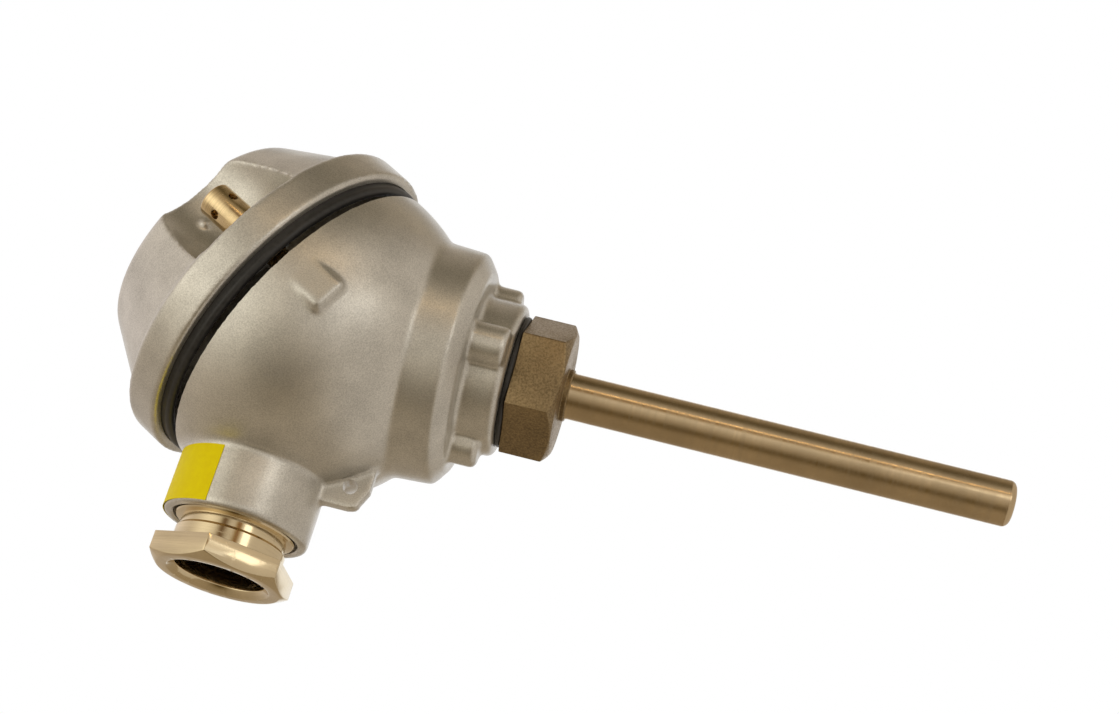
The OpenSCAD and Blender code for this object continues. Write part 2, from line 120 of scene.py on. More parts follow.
class HeadSizes(bpy.types.PropertyGroup):
    """Sizes of the cast head body."""
    bowl_radius: length("Outside radius of the bowl", 37)
    bowl_wall: length("Wall of the bowl", 3.2)
    ring_radius: length("Radius of the neck ring", 26)
    ring_draft: length("Taper of the neck ring on the radius", 0.4)
    ring_fillet: length("Fillet between the ring and the bowl", 2.4)
    collar_radius: length("Radius of the collar under the ring", 16.8)
    collar_height: length("Height of the collar", 8.6)
    step_radius: length("Radius at which the ring's rounded foot starts", 21.9)
    floor_height: length("Bowl's floor over the collar's end", 12)
    lump_radius: length("Radius of the four lumps on the collar", 4.5)
    lump_circle: length("Radius of the circle that the lumps stand on", 16.5)
    screw_lump_gap: length("How far the screw lumps stop short of the end", 0.6)
    side_lump_gap: length("How far the side lumps stop short of the end", 2.4)
    pad_width: length("Width of the pad beside each lid screw", 8.2)
    pad_depth: length("How far the pad reaches below the bowl's edge", 13)
    thread_radius: length("Radius of the threaded neck hole", 12)
    voxel: length("Cell size at which the casting's pieces are fused", 0.5)


class EntrySizes(bpy.types.PropertyGroup):
    """Sizes of the cable entry and its gland."""
    boss_radius: length("Outside radius of the entry boss", 15.5)
    boss_fillet: length("Fillet between the boss and the bowl", 1.4)
    reach: length("Distance from the stem's axis to the boss's end", 47.3)
    thread_radius: length("Radius of the threaded hole", 12)
    mouth_radius: length("Radius of the recess at the mouth", 13.4)
    mouth_depth: length("Depth of that recess", 2)
    cable_radius: length("Radius of the cable hole", 9.6)
    shelf: length("Distance from the stem's axis to the seal's shelf", 30.8)
    hexagon: length("Width across the flats of the pressure screw", 27)
    hexagon_turn: FloatProperty(description="Turn of the hexagon about the entry", default=3.0)
    pitch: length("Pitch of the gland's thread", 1.5)
    lug_thickness: length("Thickness of the tag lug", 3.2)
    lug_hole: length("Radius of the hole in the lug", 1.6)


class LidSizes(bpy.types.PropertyGroup):
    """Sizes of the lid, its seal and its screws."""
    rim_radius: length("Radius of the lid's rim", 39.1)
    gap: length("Height of the rim above the bowl's edge", 4.5)
    band: length("Height of the lid's band", 8.3)
    foot_radius: length("Radius at the foot of the slanted side", 36.7)
    crown_radius: length("Radius at the crown's edge", 26.5)
    side_height: length("Height of the slanted side", 18.6)
    crown_round: length("Rounding between side and crown", 4)
    dome: length("Rise of the domed crown", 0.9)
    wall: length("Wall of the lid", 2.6)
    scoop_radius: length("Radius of the scoop round each screw", 13.2)
    scoop_across: length("Distance of the scoop's centre from the middle", 34.3)
    scoop_side: length("Sideways place of the scoop's centre", 1)
    scoop_floor: length("Height of the scoop's floor above the bowl's edge", 12.2)
    seal_radius: length("Outer radius of the rubber ring", 37.15)
    seal_width: length("Width of the rubber ring", 2.2)
    seal_height: length("Height of the ring's lower edge", 1.9)
    head_radius: length("Radius of the capstan heads", 3.8)
    head_height: length("Length of the capstan heads", 10.6)
    screw_radius: length("Radius of the lid screws' thread", 2.5)
    cross_turn: FloatProperty(description="Turn of the cross holes", default=37.0)


class StemSizes(bpy.types.PropertyGroup):
    """Sizes of the adapter and the protection tube."""
    hexagon: length("Width across the flats of the adapter", 27)
    hexagon_height: length("Height of the hexagon", 10.6)
    hexagon_turn: FloatProperty(description="Turn of the hexagon about the stem", default=21.0)
    shoulder_radius: length("Radius of the shoulder at the tube's root", 5.7)
    shoulder_height: length("Height of that shoulder", 1.2)
    bore: length("Radius of the tube's bore", 3.5)
    floor: length("Thickness of the tube's closed end", 2)
    tip_round: length("Radius of the rounded edge at the tip", 1.5)
    spring_radius: length("Radius of the mounting springs", 2.85)
    spring_wire: length("Radius of the springs' wire", 0.4)
    spring_turns: IntProperty(description="Turns of a mounting spring", default=6)


class Finishes(bpy.types.PropertyGroup):
    """Main colour of each finish."""
    paint: colour("Silver paint on the casting", (0.64, 0.62, 0.575))
    brass: colour("Brass of the lid screws", (0.72, 0.56, 0.33))
    nickel: colour("Nickel-plated brass of the gland", (0.72, 0.60, 0.40))
    blasted: colour("Blasted steel of the adapter", (0.30, 0.22, 0.12))
    turned: colour("Turned steel of the tube", (0.62, 0.48, 0.30))
    plain: colour("Steel of the inner pieces", (0.60, 0.60, 0.60))
    label: colour("Foil of the label", (1.0, 0.82, 0.0))
    ceramic: colour("Steatite of the terminal block", (0.80, 0.76, 0.66))
    lead: colour("Insulation of the leads", (0.50, 0.05, 0.04))


GROUPS = {"head_sizes": HeadSizes, "entry_sizes": EntrySizes, "lid_sizes": LidSizes,
          "stem_sizes": StemSizes, "finishes": Finishes}

STEM = Place((0, 0, 0), (0, 0, 1), (1, 0, 0))
LID_AXIS = Vector(JOINTS["lid_lift"]["axis"])
SCREW_FRONT = joint_point("front_screw_turn")
SCREW_REAR = joint_point("rear_screw_turn")
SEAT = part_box("head_body")[0][2]
ENTRY = Place((0, 0, joint_point("gland_turn").z), (-1, 0, 0), (0, 0, 1))


def bowl_centre(scene):
    """Centre of the bowl: half way between the screws, down by the height of the scoops' floor."""
    return (SCREW_FRONT + SCREW_REAR) / 2 - scene.lid_sizes.scoop_floor * LID_AXIS


def lid_place(scene):
    """Axis of the lid, counted from the plane of the bowl's edge."""
    return Place(bowl_centre(scene), LID_AXIS, (1, 0, 0))


def screw_places(scene):
    """Axes of the two lid screws, counted from the plane of the bowl's edge."""
    down = scene.lid_sizes.scoop_floor * LID_AXIS
    return [Place(point - down, LID_AXIS, (1, 0, 0)) for point in (SCREW_FRONT, SCREW_REAR)]


# ---------- modelling ----------

def arc(radius, height, size, start, end, steps=8):
    """Points (radius, height) of an arc in an outline, angles in degrees."""
    angles = [math.radians(start + (end - start) * i / steps) for i in range(steps + 1)]
    return [(radius + size * math.cos(a), height + size * math.sin(a)) for a in angles]


def pick(*objects):
    """Select only these objects and make the first one active."""
    bpy.ops.object.select_all(action="DESELECT")
    for obj in objects:
        obj.select_set(True)
    bpy.context.view_layer.objects.active = objects[0]


def settle(obj):
    """Bring the object's place into its mesh."""
    pick(obj)
    bpy.ops.object.transform_apply(location=True, rotation=True, scale=True)
    return obj


def made(name, operator, **settings):
    """New object from an operator, named and settled."""
    bpy.ops.object.select_all(action="DESELECT")
    operator(**settings)
    obj = bpy.context.object
    obj.name = name
    return settle(obj)


def edit(obj):
    """Open the object's mesh with all of it selected."""
    pick(obj)
    bpy.ops.object.mode_set(mode="EDIT")
    bpy.ops.mesh.select_all(action="SELECT")


def close_edit(obj):
    """Turn all faces outwards, leave edit mode and settle the object."""
    bpy.ops.mesh.select_all(action="SELECT")
    bpy.ops.mesh.normals_make_consistent(inside=False)
    bpy.ops.object.mode_set(mode="OBJECT")
    return settle(obj)


def modify(obj, kind, **settings):
    """Add a modifier with its settings and apply it."""
    pick(obj)
    modifier = obj.modifiers.new(kind.title(), kind)
    for key, value in settings.items():
        setattr(modifier, key, value)
    bpy.ops.object.modifier_apply(modifier=modifier.name)


def cut(obj, *tools, operation="DIFFERENCE"):
    """Cut the tools out of the object, or join or intersect them with it."""
    for tool in tools:
        modify(obj, "BOOLEAN", operation=operation, object=tool, solver="EXACT")
        bpy.data.objects.remove(tool)
    return obj


def join(name, objects):
    """One object out of several, still overlapping."""
    pick(*objects)
    bpy.ops.object.join()
    obj = bpy.context.object
    obj.name = name
    return obj


def smooth(obj, angle=35.0):
    """Smooth shading with sharp edges over an angle."""
    pick(obj)
    bpy.ops.object.shade_smooth_by_angle(angle=math.radians(angle))
    return obj


def chain(name, points):
    """Chain of edges through points, left in edit mode with all of it selected."""
    bpy.ops.object.select_all(action="DESELECT")
    bpy.ops.mesh.primitive_plane_add(size=MM, location=points[0])
    obj = bpy.context.object
    obj.name = name
    bpy.ops.object.mode_set(mode="EDIT")
    bpy.ops.mesh.select_all(action="SELECT")
    bpy.ops.mesh.merge(type="CENTER")
    for here, there in zip(points, points[1:]):
        bpy.ops.mesh.extrude_vertices_move(TRANSFORM_OT_translate={"value": there - here})
    bpy.ops.mesh.select_all(action="SELECT")
    return obj


def turned(name, place, outline, steps=128, angle=360.0, start=0.0):
    """Outline (radius, height) spun round the place's axis."""
    obj = chain(name, [place.at(radius, height, start) for radius, height in outline])
    bpy.ops.mesh.spin(steps=steps, angle=math.radians(angle), center=place.origin, axis=place.axis)
    bpy.ops.mesh.select_all(action="SELECT")
    bpy.ops.mesh.remove_doubles(threshold=WELD)
    return close_edit(obj)


def rod(name, place, radius, low, high, steps=64):
    """Plain round solid, for cutting and joining."""
    return made(name, bpy.ops.mesh.primitive_cylinder_add, vertices=steps, radius=radius,
                depth=high - low, location=place.at(0, (low + high) / 2), rotation=place.rotation())


def block(name, place, size):
    """Plain block about a place's origin, with its size along side, across and axis."""
    return made(name, bpy.ops.mesh.primitive_cube_add, size=1, location=place.origin,
                rotation=place.rotation(), scale=size)


def plate(name, points, thickness):
    """Flat outline given as points, extruded by the vector of its thickness."""
    obj = chain(name, points)
    bpy.ops.mesh.edge_face_add()
    bpy.ops.mesh.extrude_region_move(TRANSFORM_OT_translate={"value": thickness})
    return close_edit(obj)


def fused(name, objects, voxel, rounds, triangles):
    """Casting out of overlapping pieces: one skin, its edges and roots softened by smoothing."""
    obj = join(name, objects)
    modify(obj, "REMESH", mode="VOXEL", voxel_size=voxel, adaptivity=0.0)
    modify(obj, "SMOOTH", factor=0.5, iterations=rounds)
    count = 2 * len(obj.data.polygons)
    modify(obj, "DECIMATE", ratio=min(1.0, triangles / count))
    return obj


def hexagon(name, place, across_flats, low, high, low_chamfer, high_chamfer, angle):
    """Hexagonal bar whose corners are turned down at 30 degrees on the ends that are named."""
    corner = across_flats / math.sqrt(3)
    land = across_flats / 2 - 0.4 * MM
    drop = (corner - land) * math.tan(math.radians(30))
    aimed = Place(place.origin, place.axis, place.at(1, 0, angle) - place.origin)
    bar = rod(name, aimed, corner, low, high, 6)
    outline = [(0, low)]
    outline += [(land, low), (corner, low + drop)] if low_chamfer else [(corner, low)] * 2
    outline += [(corner, high - drop), (land, high)] if high_chamfer else [(corner, high)] * 2
    outline += [(0, high)]
    grow = 1.0005
    cone = turned(name + "_turning", place, [(radius * grow, height) for radius, height in outline], 144)
    return cut(bar, cone, operation="INTERSECT")


def thread_ridge(name, place, radius, depth, low, high, pitch, steps=48):
    """Helical ridge with flat crests, closed at both ends."""
    foot = radius - 1.3 * depth
    outline = [(foot, low), (radius, low + 0.3 * pitch), (radius, low + 0.42 * pitch),
               (foot, low + 0.72 * pitch), (foot, low)]
    local = Place((0, 0, 0), (0, 0, 1), (1, 0, 0))
    obj = chain(name, [local.at(r, h) for r, h in outline])
    bpy.ops.mesh.remove_doubles(threshold=WELD)
    bpy.ops.object.mode_set(mode="OBJECT")
    settle(obj)
    turns = (high - low) / pitch
    modify(obj, "SCREW", axis="Z", angle=math.tau * turns, screw_offset=high - low,
           steps=round(steps * turns), render_steps=round(steps * turns), iterations=1,
           use_merge_vertices=True)
    close_holes(obj)
    obj.rotation_euler = place.rotation()
    obj.location = place.origin
    return settle(obj)


def close_holes(obj):
    """Fill open ends and turn all faces outwards."""
    pick(obj)
    bpy.ops.object.mode_set(mode="EDIT")
    bpy.ops.mesh.select_mode(type="EDGE")
    bpy.ops.mesh.select_all(action="DESELECT")
    bpy.ops.mesh.select_non_manifold()
    bpy.ops.mesh.fill()
    bpy.ops.mesh.select_all(action="SELECT")
    bpy.ops.mesh.normals_make_consistent(inside=False)
    bpy.ops.mesh.select_mode(type="VERT")
    bpy.ops.object.mode_set(mode="OBJECT")


def break_edges(obj, width, angle=28.0, segments=2):
    """Small bevel on every edge over an angle."""
    modify(obj, "BEVEL", width=width, segments=segments, limit_method="ANGLE",
           angle_limit=math.radians(angle), use_clamp_overlap=True, harden_normals=False)
    smooth(obj)


def refined(node, name, width):
    """Copy of a node's mesh, merged into clean faces and with its edges broken."""
    source = frame["nodes"][node]
    obj = bpy.data.objects.new(name, source.data.copy())
    bpy.context.collection.objects.link(obj)
    edit(obj)
    bpy.ops.mesh.remove_doubles(threshold=2 * WELD)
    bpy.ops.mesh.dissolve_limited(angle_limit=math.radians(1.0))
    bpy.ops.object.mode_set(mode="OBJECT")
    break_edges(obj, width)
    return obj


def hand_over(obj, body, slot, finish_name, *nodes):
    """Give a finished piece its finish and its body, and hide the nodes it stands for. The slot argument is
    not used.
    """
    obj.data.materials.clear()
    obj.data.materials.append(bpy.data.materials[f"{finish_name}_finish"])
    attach(obj, body)
    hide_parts(*nodes)


def dress(node, finish_name):
    """Give a node that keeps its own mesh a finish."""
    for place in frame["nodes"][node].material_slots:
        place.material = bpy.data.materials[f"{finish_name}_finish"]


# ---------- finishes ----------

def add_node(tree, kind, inputs, output=0, **settings):
    """New node with its settings and its inputs, each a socket or a plain value. Returns an output."""
    node = tree.nodes.new(f"ShaderNode{kind}")
    for key, value in settings.items():
        setattr(node, key, value)
    for key, value in inputs.items():
        if isinstance(value, bpy.types.NodeSocket):
            tree.links.new(value, node.inputs[key])
        else:
            node.inputs[key].default_value = value
    return node.outputs[output]


def effect_group(name, outputs):
    """Empty shader group over coordinates and a scale. Returns it with those two and its results."""
    tree = bpy.data.node_groups.new(name, "ShaderNodeTree")
    for label, kind in (("Vector", "NodeSocketVector"), ("Scale", "NodeSocketFloat")):
        tree.interface.new_socket(name=label, in_out="INPUT", socket_type=kind)
    for label in outputs:
        tree.interface.new_socket(name=label, in_out="OUTPUT", socket_type="NodeSocketFloat")
    given = tree.nodes.new("NodeGroupInput").outputs
    return tree, given["Vector"], given["Scale"], tree.nodes.new("NodeGroupOutput").inputs


def noise(tree, vector, scale, detail=3.0, roughness=0.55):
    """Noise texture."""
    inputs = {"Vector": vector, "Scale": scale, "Detail": detail, "Roughness": roughness}
    return add_node(tree, "TexNoise", inputs, "Fac")


def maths(tree, operation, first, second):
    """Math node on two numbers or sockets."""
    return add_node(tree, "Math", {0: first, 1: second}, operation=operation)


def vector_maths(tree, operation, *values, output="Vector"):
    """Vector math node on vectors or sockets."""
    return add_node(tree, "VectorMath", dict(enumerate(values)), output, operation=operation)


def spread(tree, value, low, high, to_low=0.0, to_high=1.0):
    """Value between low and high, spread to a new range and held there."""
    inputs = {"Value": value, "From Min": low, "From Max": high, "To Min": to_low, "To Max": to_high}
    return add_node(tree, "MapRange", inputs, "Result")


def blend_colour(tree, factor, first, second):
    """Mix of two colours or colour sockets."""
    first, second = (value if isinstance(value, bpy.types.NodeSocket) else (*value, 1.0)
                     for value in (first, second))
    return add_node(tree, "Mix", {"Factor": factor, 6: first, 7: second}, 2, data_type="RGBA")


def make_grain_group():
    """Fine grain of a painted casting or a blasted face, and the slow change over it."""
    tree, vector, scale, result = effect_group("Grain", ["Height", "Shade"])
    fine = noise(tree, vector, scale, 2.0, 0.6)
    finer = noise(tree, vector, maths(tree, "MULTIPLY", scale, 2.3), 1.0)
    slow = noise(tree, vector, maths(tree, "MULTIPLY", scale, 0.03), 4.0)
    both = maths(tree, "ADD", fine, maths(tree, "MULTIPLY", finer, 0.5))
    tree.links.new(maths(tree, "ADD", both, maths(tree, "MULTIPLY", slow, 0.6)), result["Height"])
    speck = maths(tree, "MULTIPLY", spread(tree, fine, 0.35, 0.65), 0.55)
    cloud = maths(tree, "MULTIPLY", spread(tree, slow, 0.3, 0.7), 0.45)
    tree.links.new(maths(tree, "ADD", speck, cloud), result["Shade"])


def make_turning_group():
    """Tool marks that run round an axis laid on Z."""
    tree, vector, scale, result = effect_group("Turning", ["Height", "Shade"])
    rings = vector_maths(tree, "MULTIPLY", vector, (0.02, 0.02, 1.0))
    fine = noise(tree, rings, scale, 3.0, 0.7)
    wide = noise(tree, rings, maths(tree, "MULTIPLY", scale, 0.12), 2.0)
    tree.links.new(maths(tree, "ADD", fine, wide), result["Height"])
    tree.links.new(spread(tree, maths(tree, "MULTIPLY", fine, wide), 0.12, 0.4), result["Shade"])


def make_scratch_group():
    """Thin scratches that run one way and another, and dull stains between them."""
    tree, vector, scale, result = effect_group("Scratches", ["Scratch", "Stain"])
    lines = None
    for stretch in ((1.0, 0.08, 0.5), (0.12, 1.0, 0.3), (0.5, 0.4, 0.07)):
        layer = noise(tree, vector_maths(tree, "MULTIPLY", vector, stretch), scale, 5.0, 0.75)
        thin = spread(tree, layer, 0.62, 0.68)
        lines = thin if lines is None else maths(tree, "MAXIMUM", lines, thin)
    tree.links.new(lines, result["Scratch"])
    stain = noise(tree, vector, maths(tree, "MULTIPLY", scale, 0.25), 5.0, 0.6)
    tree.links.new(spread(tree, stain, 0.4, 0.65), result["Stain"])


def finish(name, tint, metallic, roughness, **sockets):
    """Material with its shader's plain sockets set. Returns its tree, shader and coordinates."""
    material = bpy.data.materials.new(name)
    material.use_nodes = True
    tree = material.node_tree
    shader = tree.nodes["Principled BSDF"]
    shader.inputs["Base Color"].default_value = (*tint, 1.0)
    shader.inputs["Metallic"].default_value = metallic
    shader.inputs["Roughness"].default_value = roughness
    for label, value in sockets.items():
        shader.inputs[label.replace("_", " ")].default_value = value
    return tree, shader, tree.nodes.new("ShaderNodeTexCoord").outputs["Object"]


def place_group(tree, name, vector, scale):
    """Results of a shared effect, placed with its own scale."""
    node = tree.nodes.new("ShaderNodeGroup")
    node.node_tree = bpy.data.node_groups[name]
    tree.links.new(vector, node.inputs["Vector"])
    node.inputs["Scale"].default_value = scale
    return node.outputs


def along(tree, vector, axis):
    """Coordinates turned so that the axis lies on Z."""
    turn = Vector(axis).rotation_difference(Vector((0, 0, 1))).to_euler()
    return add_node(tree, "Mapping", {"Vector": vector, "Rotation": turn})


def emboss(tree, shader, height, strength, depth):
    """Bump on the shader from a height."""
    normal = add_node(tree, "Bump", {"Strength": strength, "Distance": depth, "Height": height})
    tree.links.new(normal, shader.inputs["Normal"])


def tone(value, factor):
    """Colour made lighter or darker."""
    return tuple(min(1.0, channel * factor) for channel in value)


def tones(value, dark, light):
    """Darker and lighter shade of a colour."""
    return tone(value, dark), tone(value, light)


def grained_finish(name, tint, metallic, roughness, scale, shades, gloss, bump, **sockets):
    """Finish with a fine grain: its two shades, its roughness as a spread, and its bump in mm."""
    tree, shader, where = finish(name, tint, metallic, roughness, **sockets)
    grain = place_group(tree, "Grain", where, scale)
    tree.links.new(blend_colour(tree, grain["Shade"], *shades), shader.inputs["Base Color"])
    if gloss:
        tree.links.new(spread(tree, grain["Shade"], *gloss), shader.inputs["Roughness"])
    strength, depth = bump
    emboss(tree, shader, grain["Height"], strength, depth * MM)


def brass_finish(name, tint, axis, roughness, tarnish):
    """Turned bright metal with tool marks round its axis and a little tarnish."""
    tree, shader, where = finish(name, tint, 1.0, roughness)
    marks = place_group(tree, "Turning", along(tree, where, axis), 5000.0)
    wear = place_group(tree, "Scratches", where, 500.0)
    stained = blend_colour(tree, wear["Stain"], tint, tone(tint, tarnish))
    tree.links.new(blend_colour(tree, marks["Shade"], stained, tone(tint, 1.12)),
                   shader.inputs["Base Color"])
    tree.links.new(spread(tree, wear["Scratch"], 0.0, 1.0, roughness, roughness + 0.16),
                   shader.inputs["Roughness"])
    emboss(tree, shader, marks["Height"], 0.12, 0.01 * MM)


def turned_finish(name, tint, axis, roughness):
    """Turned steel with fine rings and darker bands."""
    tree, shader, where = finish(name, tint, 1.0, roughness)
    marks = place_group(tree, "Turning", along(tree, where, axis), 3600.0)
    wear = place_group(tree, "Scratches", where, 260.0)
    banded = blend_colour(tree, marks["Shade"], tone(tint, 0.86), tone(tint, 1.1))
    tree.links.new(blend_colour(tree, wear["Stain"], banded, tone(tint, 0.8)),
                   shader.inputs["Base Color"])
    tree.links.new(spread(tree, marks["Shade"], 0.0, 1.0, roughness + 0.1, roughness - 0.05),
                   shader.inputs["Roughness"])
    emboss(tree, shader, marks["Height"], 0.12, 0.01 * MM)


def lead_finish(tint):
    """Glossy insulation with small dull patches."""
    tree, shader, where = finish("lead_finish", tint, 0.0, 0.35)
    wear = place_group(tree, "Scratches", where, 900.0)
    tree.links.new(blend_colour(tree, wear["Stain"], tint, tone(tint, 0.8)),
                   shader.inputs["Base Color"])
    tree.links.new(spread(tree, wear["Scratch"], 0.0, 1.0, 0.32, 0.5), shader.inputs["Roughness"])


# ---------- operators ----------

class Maker:
    """What all operators share: make() does the work on the scene."""

    def execute(self, context):
        self.make(context.scene)
        return {"FINISHED"}


class MakeFinishes(Maker, bpy.types.Operator):
    """Build the shared effects and every finish"""
    bl_idname = "thermometer.finishes"
    bl_label = "Finishes"

    def make(self, scene):
        tints = scene.finishes
        make_grain_group()
        make_turning_group()
        make_scratch_group()
        # Silver paint on a casting: fine grain and flake, slightly uneven gloss.
        grained_finish("cast_paint_finish", tints.paint, 0.92, 0.38, 3600.0, tones(tints.paint, 0.74, 1.26),
                       (0.0, 1.0, 0.43, 0.33), (0.45, 0.05), Coat_Weight=0.2, Coat_Roughness=0.1)
        brass_finish("screw_brass_finish", tints.brass, LID_AXIS, 0.2, 0.6)
        brass_finish("gland_finish", tints.nickel, ENTRY.axis, 0.13, 0.85)
        brass_finish("terminal_brass_finish", tints.brass, STEM.axis, 0.28, 0.75)
        # Blasted steel: coarse bright grain.
        grained_finish("steel_blasted_finish", tints.blasted, 1.0, 0.4, 2300.0,
                       tones(tints.blasted, 0.6, 1.35), (0.2, 0.8, 0.5, 0.3), (0.75, 0.09))
        turned_finish("steel_turned_finish", tints.turned, STEM.axis, 0.17)
        turned_finish("steel_plain_finish", tints.plain, STEM.axis, 0.3)
        turned_finish("steel_clip_finish", tone(tints.plain, 0.7), LID_AXIS, 0.34)
        # Black moulded rubber with a faint grey bloom.
        grained_finish("rubber_finish", (0.018, 0.018, 0.019), 0.0, 0.42, 900.0,
                       ((0.010, 0.010, 0.011), (0.035, 0.034, 0.033)), (0.0, 1.0, 0.36, 0.52), (0.2, 0.03))
        # Yellow foil, a little faded.
        grained_finish("label_finish", tints.label, 0.0, 0.5, 700.0, tones(tints.label, 0.93, 1.04),
                       None, (0.1, 0.03), Specular_IOR_Level=0.1)
        # Dry-pressed steatite: matte, with pores and slightly soiled.
        grained_finish("ceramic_finish", tints.ceramic, 0.0, 0.5, 1500.0, tones(tints.ceramic, 0.88, 1.08),
                       (0.0, 1.0, 0.42, 0.6), (0.3, 0.05))
        lead_finish(tints.lead)


class MakeHeadBody(Maker, bpy.types.Operator):
    """Model the cast head body: bowl, ring, collar, lumps, entry boss, pads and lug"""
    bl_idname = "thermometer.head_body"
    bl_label = "Head body"

    def make(self, scene):
        pieces = [self.bowl(scene), self.boss(scene), self.lug(scene)]
        pieces += self.lumps(scene) + self.pads(scene)
        body = fused("cast_head_body", pieces, scene.head_sizes.voxel, rounds=7, triangles=130000)
        edit(body)
        bpy.ops.mesh.bisect(plane_co=bowl_centre(scene), plane_no=LID_AXIS, use_fill=True,
                            clear_outer=True)
        bpy.ops.object.mode_set(mode="OBJECT")
        cut(body, self.hollow(scene), self.entry_bore(scene), self.neck_bore(scene))
        cut(body, join("head_holes", self.holes(scene)))
        smooth(body)
        hand_over(body, "head", "cast_paint", "cast_paint", "head_body")

    def bowl(self, scene):
        """Collar, ring and bowl turned about the stem."""
        sizes = scene.head_sizes
        centre = bowl_centre(scene)
        edge = 1.5 * MM
        root = 1.2 * MM
        collar_top = SEAT + sizes.collar_height
        ring_foot = collar_top + 1.9 * MM + edge
        fillet = sizes.ring_fillet
        reach = sizes.bowl_radius + fillet
        lift = math.sqrt(reach ** 2 - (sizes.ring_radius + fillet) ** 2)
        lean = math.degrees(math.atan2(lift, sizes.ring_radius + fillet))
        outline = [(0, SEAT)]
        outline += arc(sizes.collar_radius - edge, SEAT + edge, edge, -90, 0)
        outline += arc(sizes.collar_radius + root, collar_top - root, root, 180, 90)
        outline += [(sizes.step_radius, collar_top)]
        outline += arc(sizes.ring_radius - sizes.ring_draft - edge, ring_foot, edge, -55, 0)
        outline += arc(sizes.ring_radius + fillet, centre.z - lift, fillet, 180, 180 - lean, 10)
        outline += arc(0, centre.z, sizes.bowl_radius, -lean, 90, 60)
        return turned("bowl", STEM, outline, 160)

    def boss(self, scene):
        """Cable entry with a fillet at its root and a rounded mouth."""
        sizes = scene.entry_sizes
        bowl = scene.head_sizes.bowl_radius
        fillet = sizes.boss_fillet
        edge = 0.9 * MM
        lift = math.sqrt((bowl + fillet) ** 2 - (sizes.boss_radius + fillet) ** 2)
        lean = math.degrees(math.atan2(lift, sizes.boss_radius + fillet))
        outline = [(0, 0.6 * lift), (sizes.boss_radius, 0.85 * lift)]
        outline += arc(sizes.boss_radius + fillet, lift, fillet, 180 + lean, 180, 10)
        outline += arc(sizes.boss_radius - edge, sizes.reach - edge, edge, 0, 90, 6)
        outline += [(0, sizes.reach)]
        return turned("entry_boss", ENTRY, outline)

    def lumps(self, scene):
        """Four rounded lumps on the collar: long ones over the screws, short ones at the sides."""
        sizes = scene.head_sizes
        edge = 1.3 * MM
        top = SEAT + sizes.collar_height + 2 * MM
        lumps = []
        for quarter in range(4):
            gap = sizes.screw_lump_gap if quarter % 2 else sizes.side_lump_gap
            spot = STEM.at(sizes.lump_circle, 0, 90 * quarter)
            outline = [(0, SEAT + gap)]
            outline += arc(sizes.lump_radius - edge, SEAT + gap + edge, edge, -90, 0)
            outline += [(sizes.lump_radius, top), (0, top)]
            lumps.append(turned(f"lump_{quarter}", Place(spot, STEM.axis, STEM.side), outline, 64))
        return lumps

    def pads(self, scene):
        """Raised pads beside the lid screws, flush with the bowl at its edge."""
        sizes = scene.head_sizes
        depth = 6 * MM
        face = sizes.bowl_radius - 0.3 * MM
        height = sizes.pad_depth - 1 * MM
        pads = []
        for side in (-1, 1):
            spot = lid_place(scene).moved(0, side * (face - depth / 2), -sizes.pad_depth + height / 2)
            pad = block("pad", spot, (sizes.pad_width, depth, height))
            modify(pad, "BEVEL", width=1.3 * MM, segments=4, limit_method="NONE")
            pads.append(pad)
        return pads

    def lug_points(self, scene):
        """Corners of the tag lug as (distance along the entry, height)."""
        sizes = scene.entry_sizes
        high = ENTRY.origin.z - sizes.boss_radius + 3 * MM
        low = high - 2.4 * MM
        outer = sizes.reach - 9.8 * MM
        foot = low - 9 * MM
        base = foot - 1.3 * MM
        edge = 1.8 * MM
        root = scene.head_sizes.ring_radius - 2 * MM
        corner = [(-x, z) for x, z in arc(-outer + edge, foot + edge, edge, 180, 262, 5)]
        return ([(outer - 2 * MM, high), (outer, low)] + corner
                + [(outer - 4.5 * MM, base), (root, base), (root, high)])

    def lug(self, scene):
        """Flat tag lug between the boss and the ring."""
        thickness = scene.entry_sizes.lug_thickness
        back = -2 * MM + thickness / 2
        corners = [Vector((-x, back, z)) for x, z in self.lug_points(scene)]
        return plate("lug", corners + corners[:1], Vector((0, -thickness, 0)))

    def hollow(self, scene):
        """Space inside the bowl, with the inner bosses left standing."""
        sizes = scene.head_sizes
        centre = bowl_centre(scene)
        inside = sizes.bowl_radius - sizes.bowl_wall
        well = sizes.ring_radius - sizes.ring_draft - sizes.bowl_wall
        lean = math.degrees(math.acos(well / inside))
        floor = SEAT + sizes.floor_height
        edge = 1 * MM
        outline = [(0, floor)] + arc(well - edge, floor + edge, edge, -90, 0, 4)
        outline += arc(0, centre.z, inside, -lean, 90, 40)
        hollow = turned("hollow", STEM, outline)
        screw_boss, earth_boss = 4.6 * MM, 4 * MM
        bosses = [rod("inner_boss", ENTRY, scene.entry_sizes.boss_radius, inside - 7 * MM,
                      inside + 9 * MM)]
        bosses += [rod("screw_boss", place, screw_boss, -15 * MM, 10 * MM)
                   for place in screw_places(scene)]
        bosses += [rod("earth_boss", self.earth_place(), earth_boss, 0, 14 * MM)]
        return cut(hollow, *bosses)

    def earth_place(self):
        """Axis of the earth screw, outwards from the face that its washer lies on."""
        low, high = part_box("earth_washer")
        return Place((high[0], 0, (low[2] + high[2]) / 2), (1, 0, 0), (0, 0, 1))

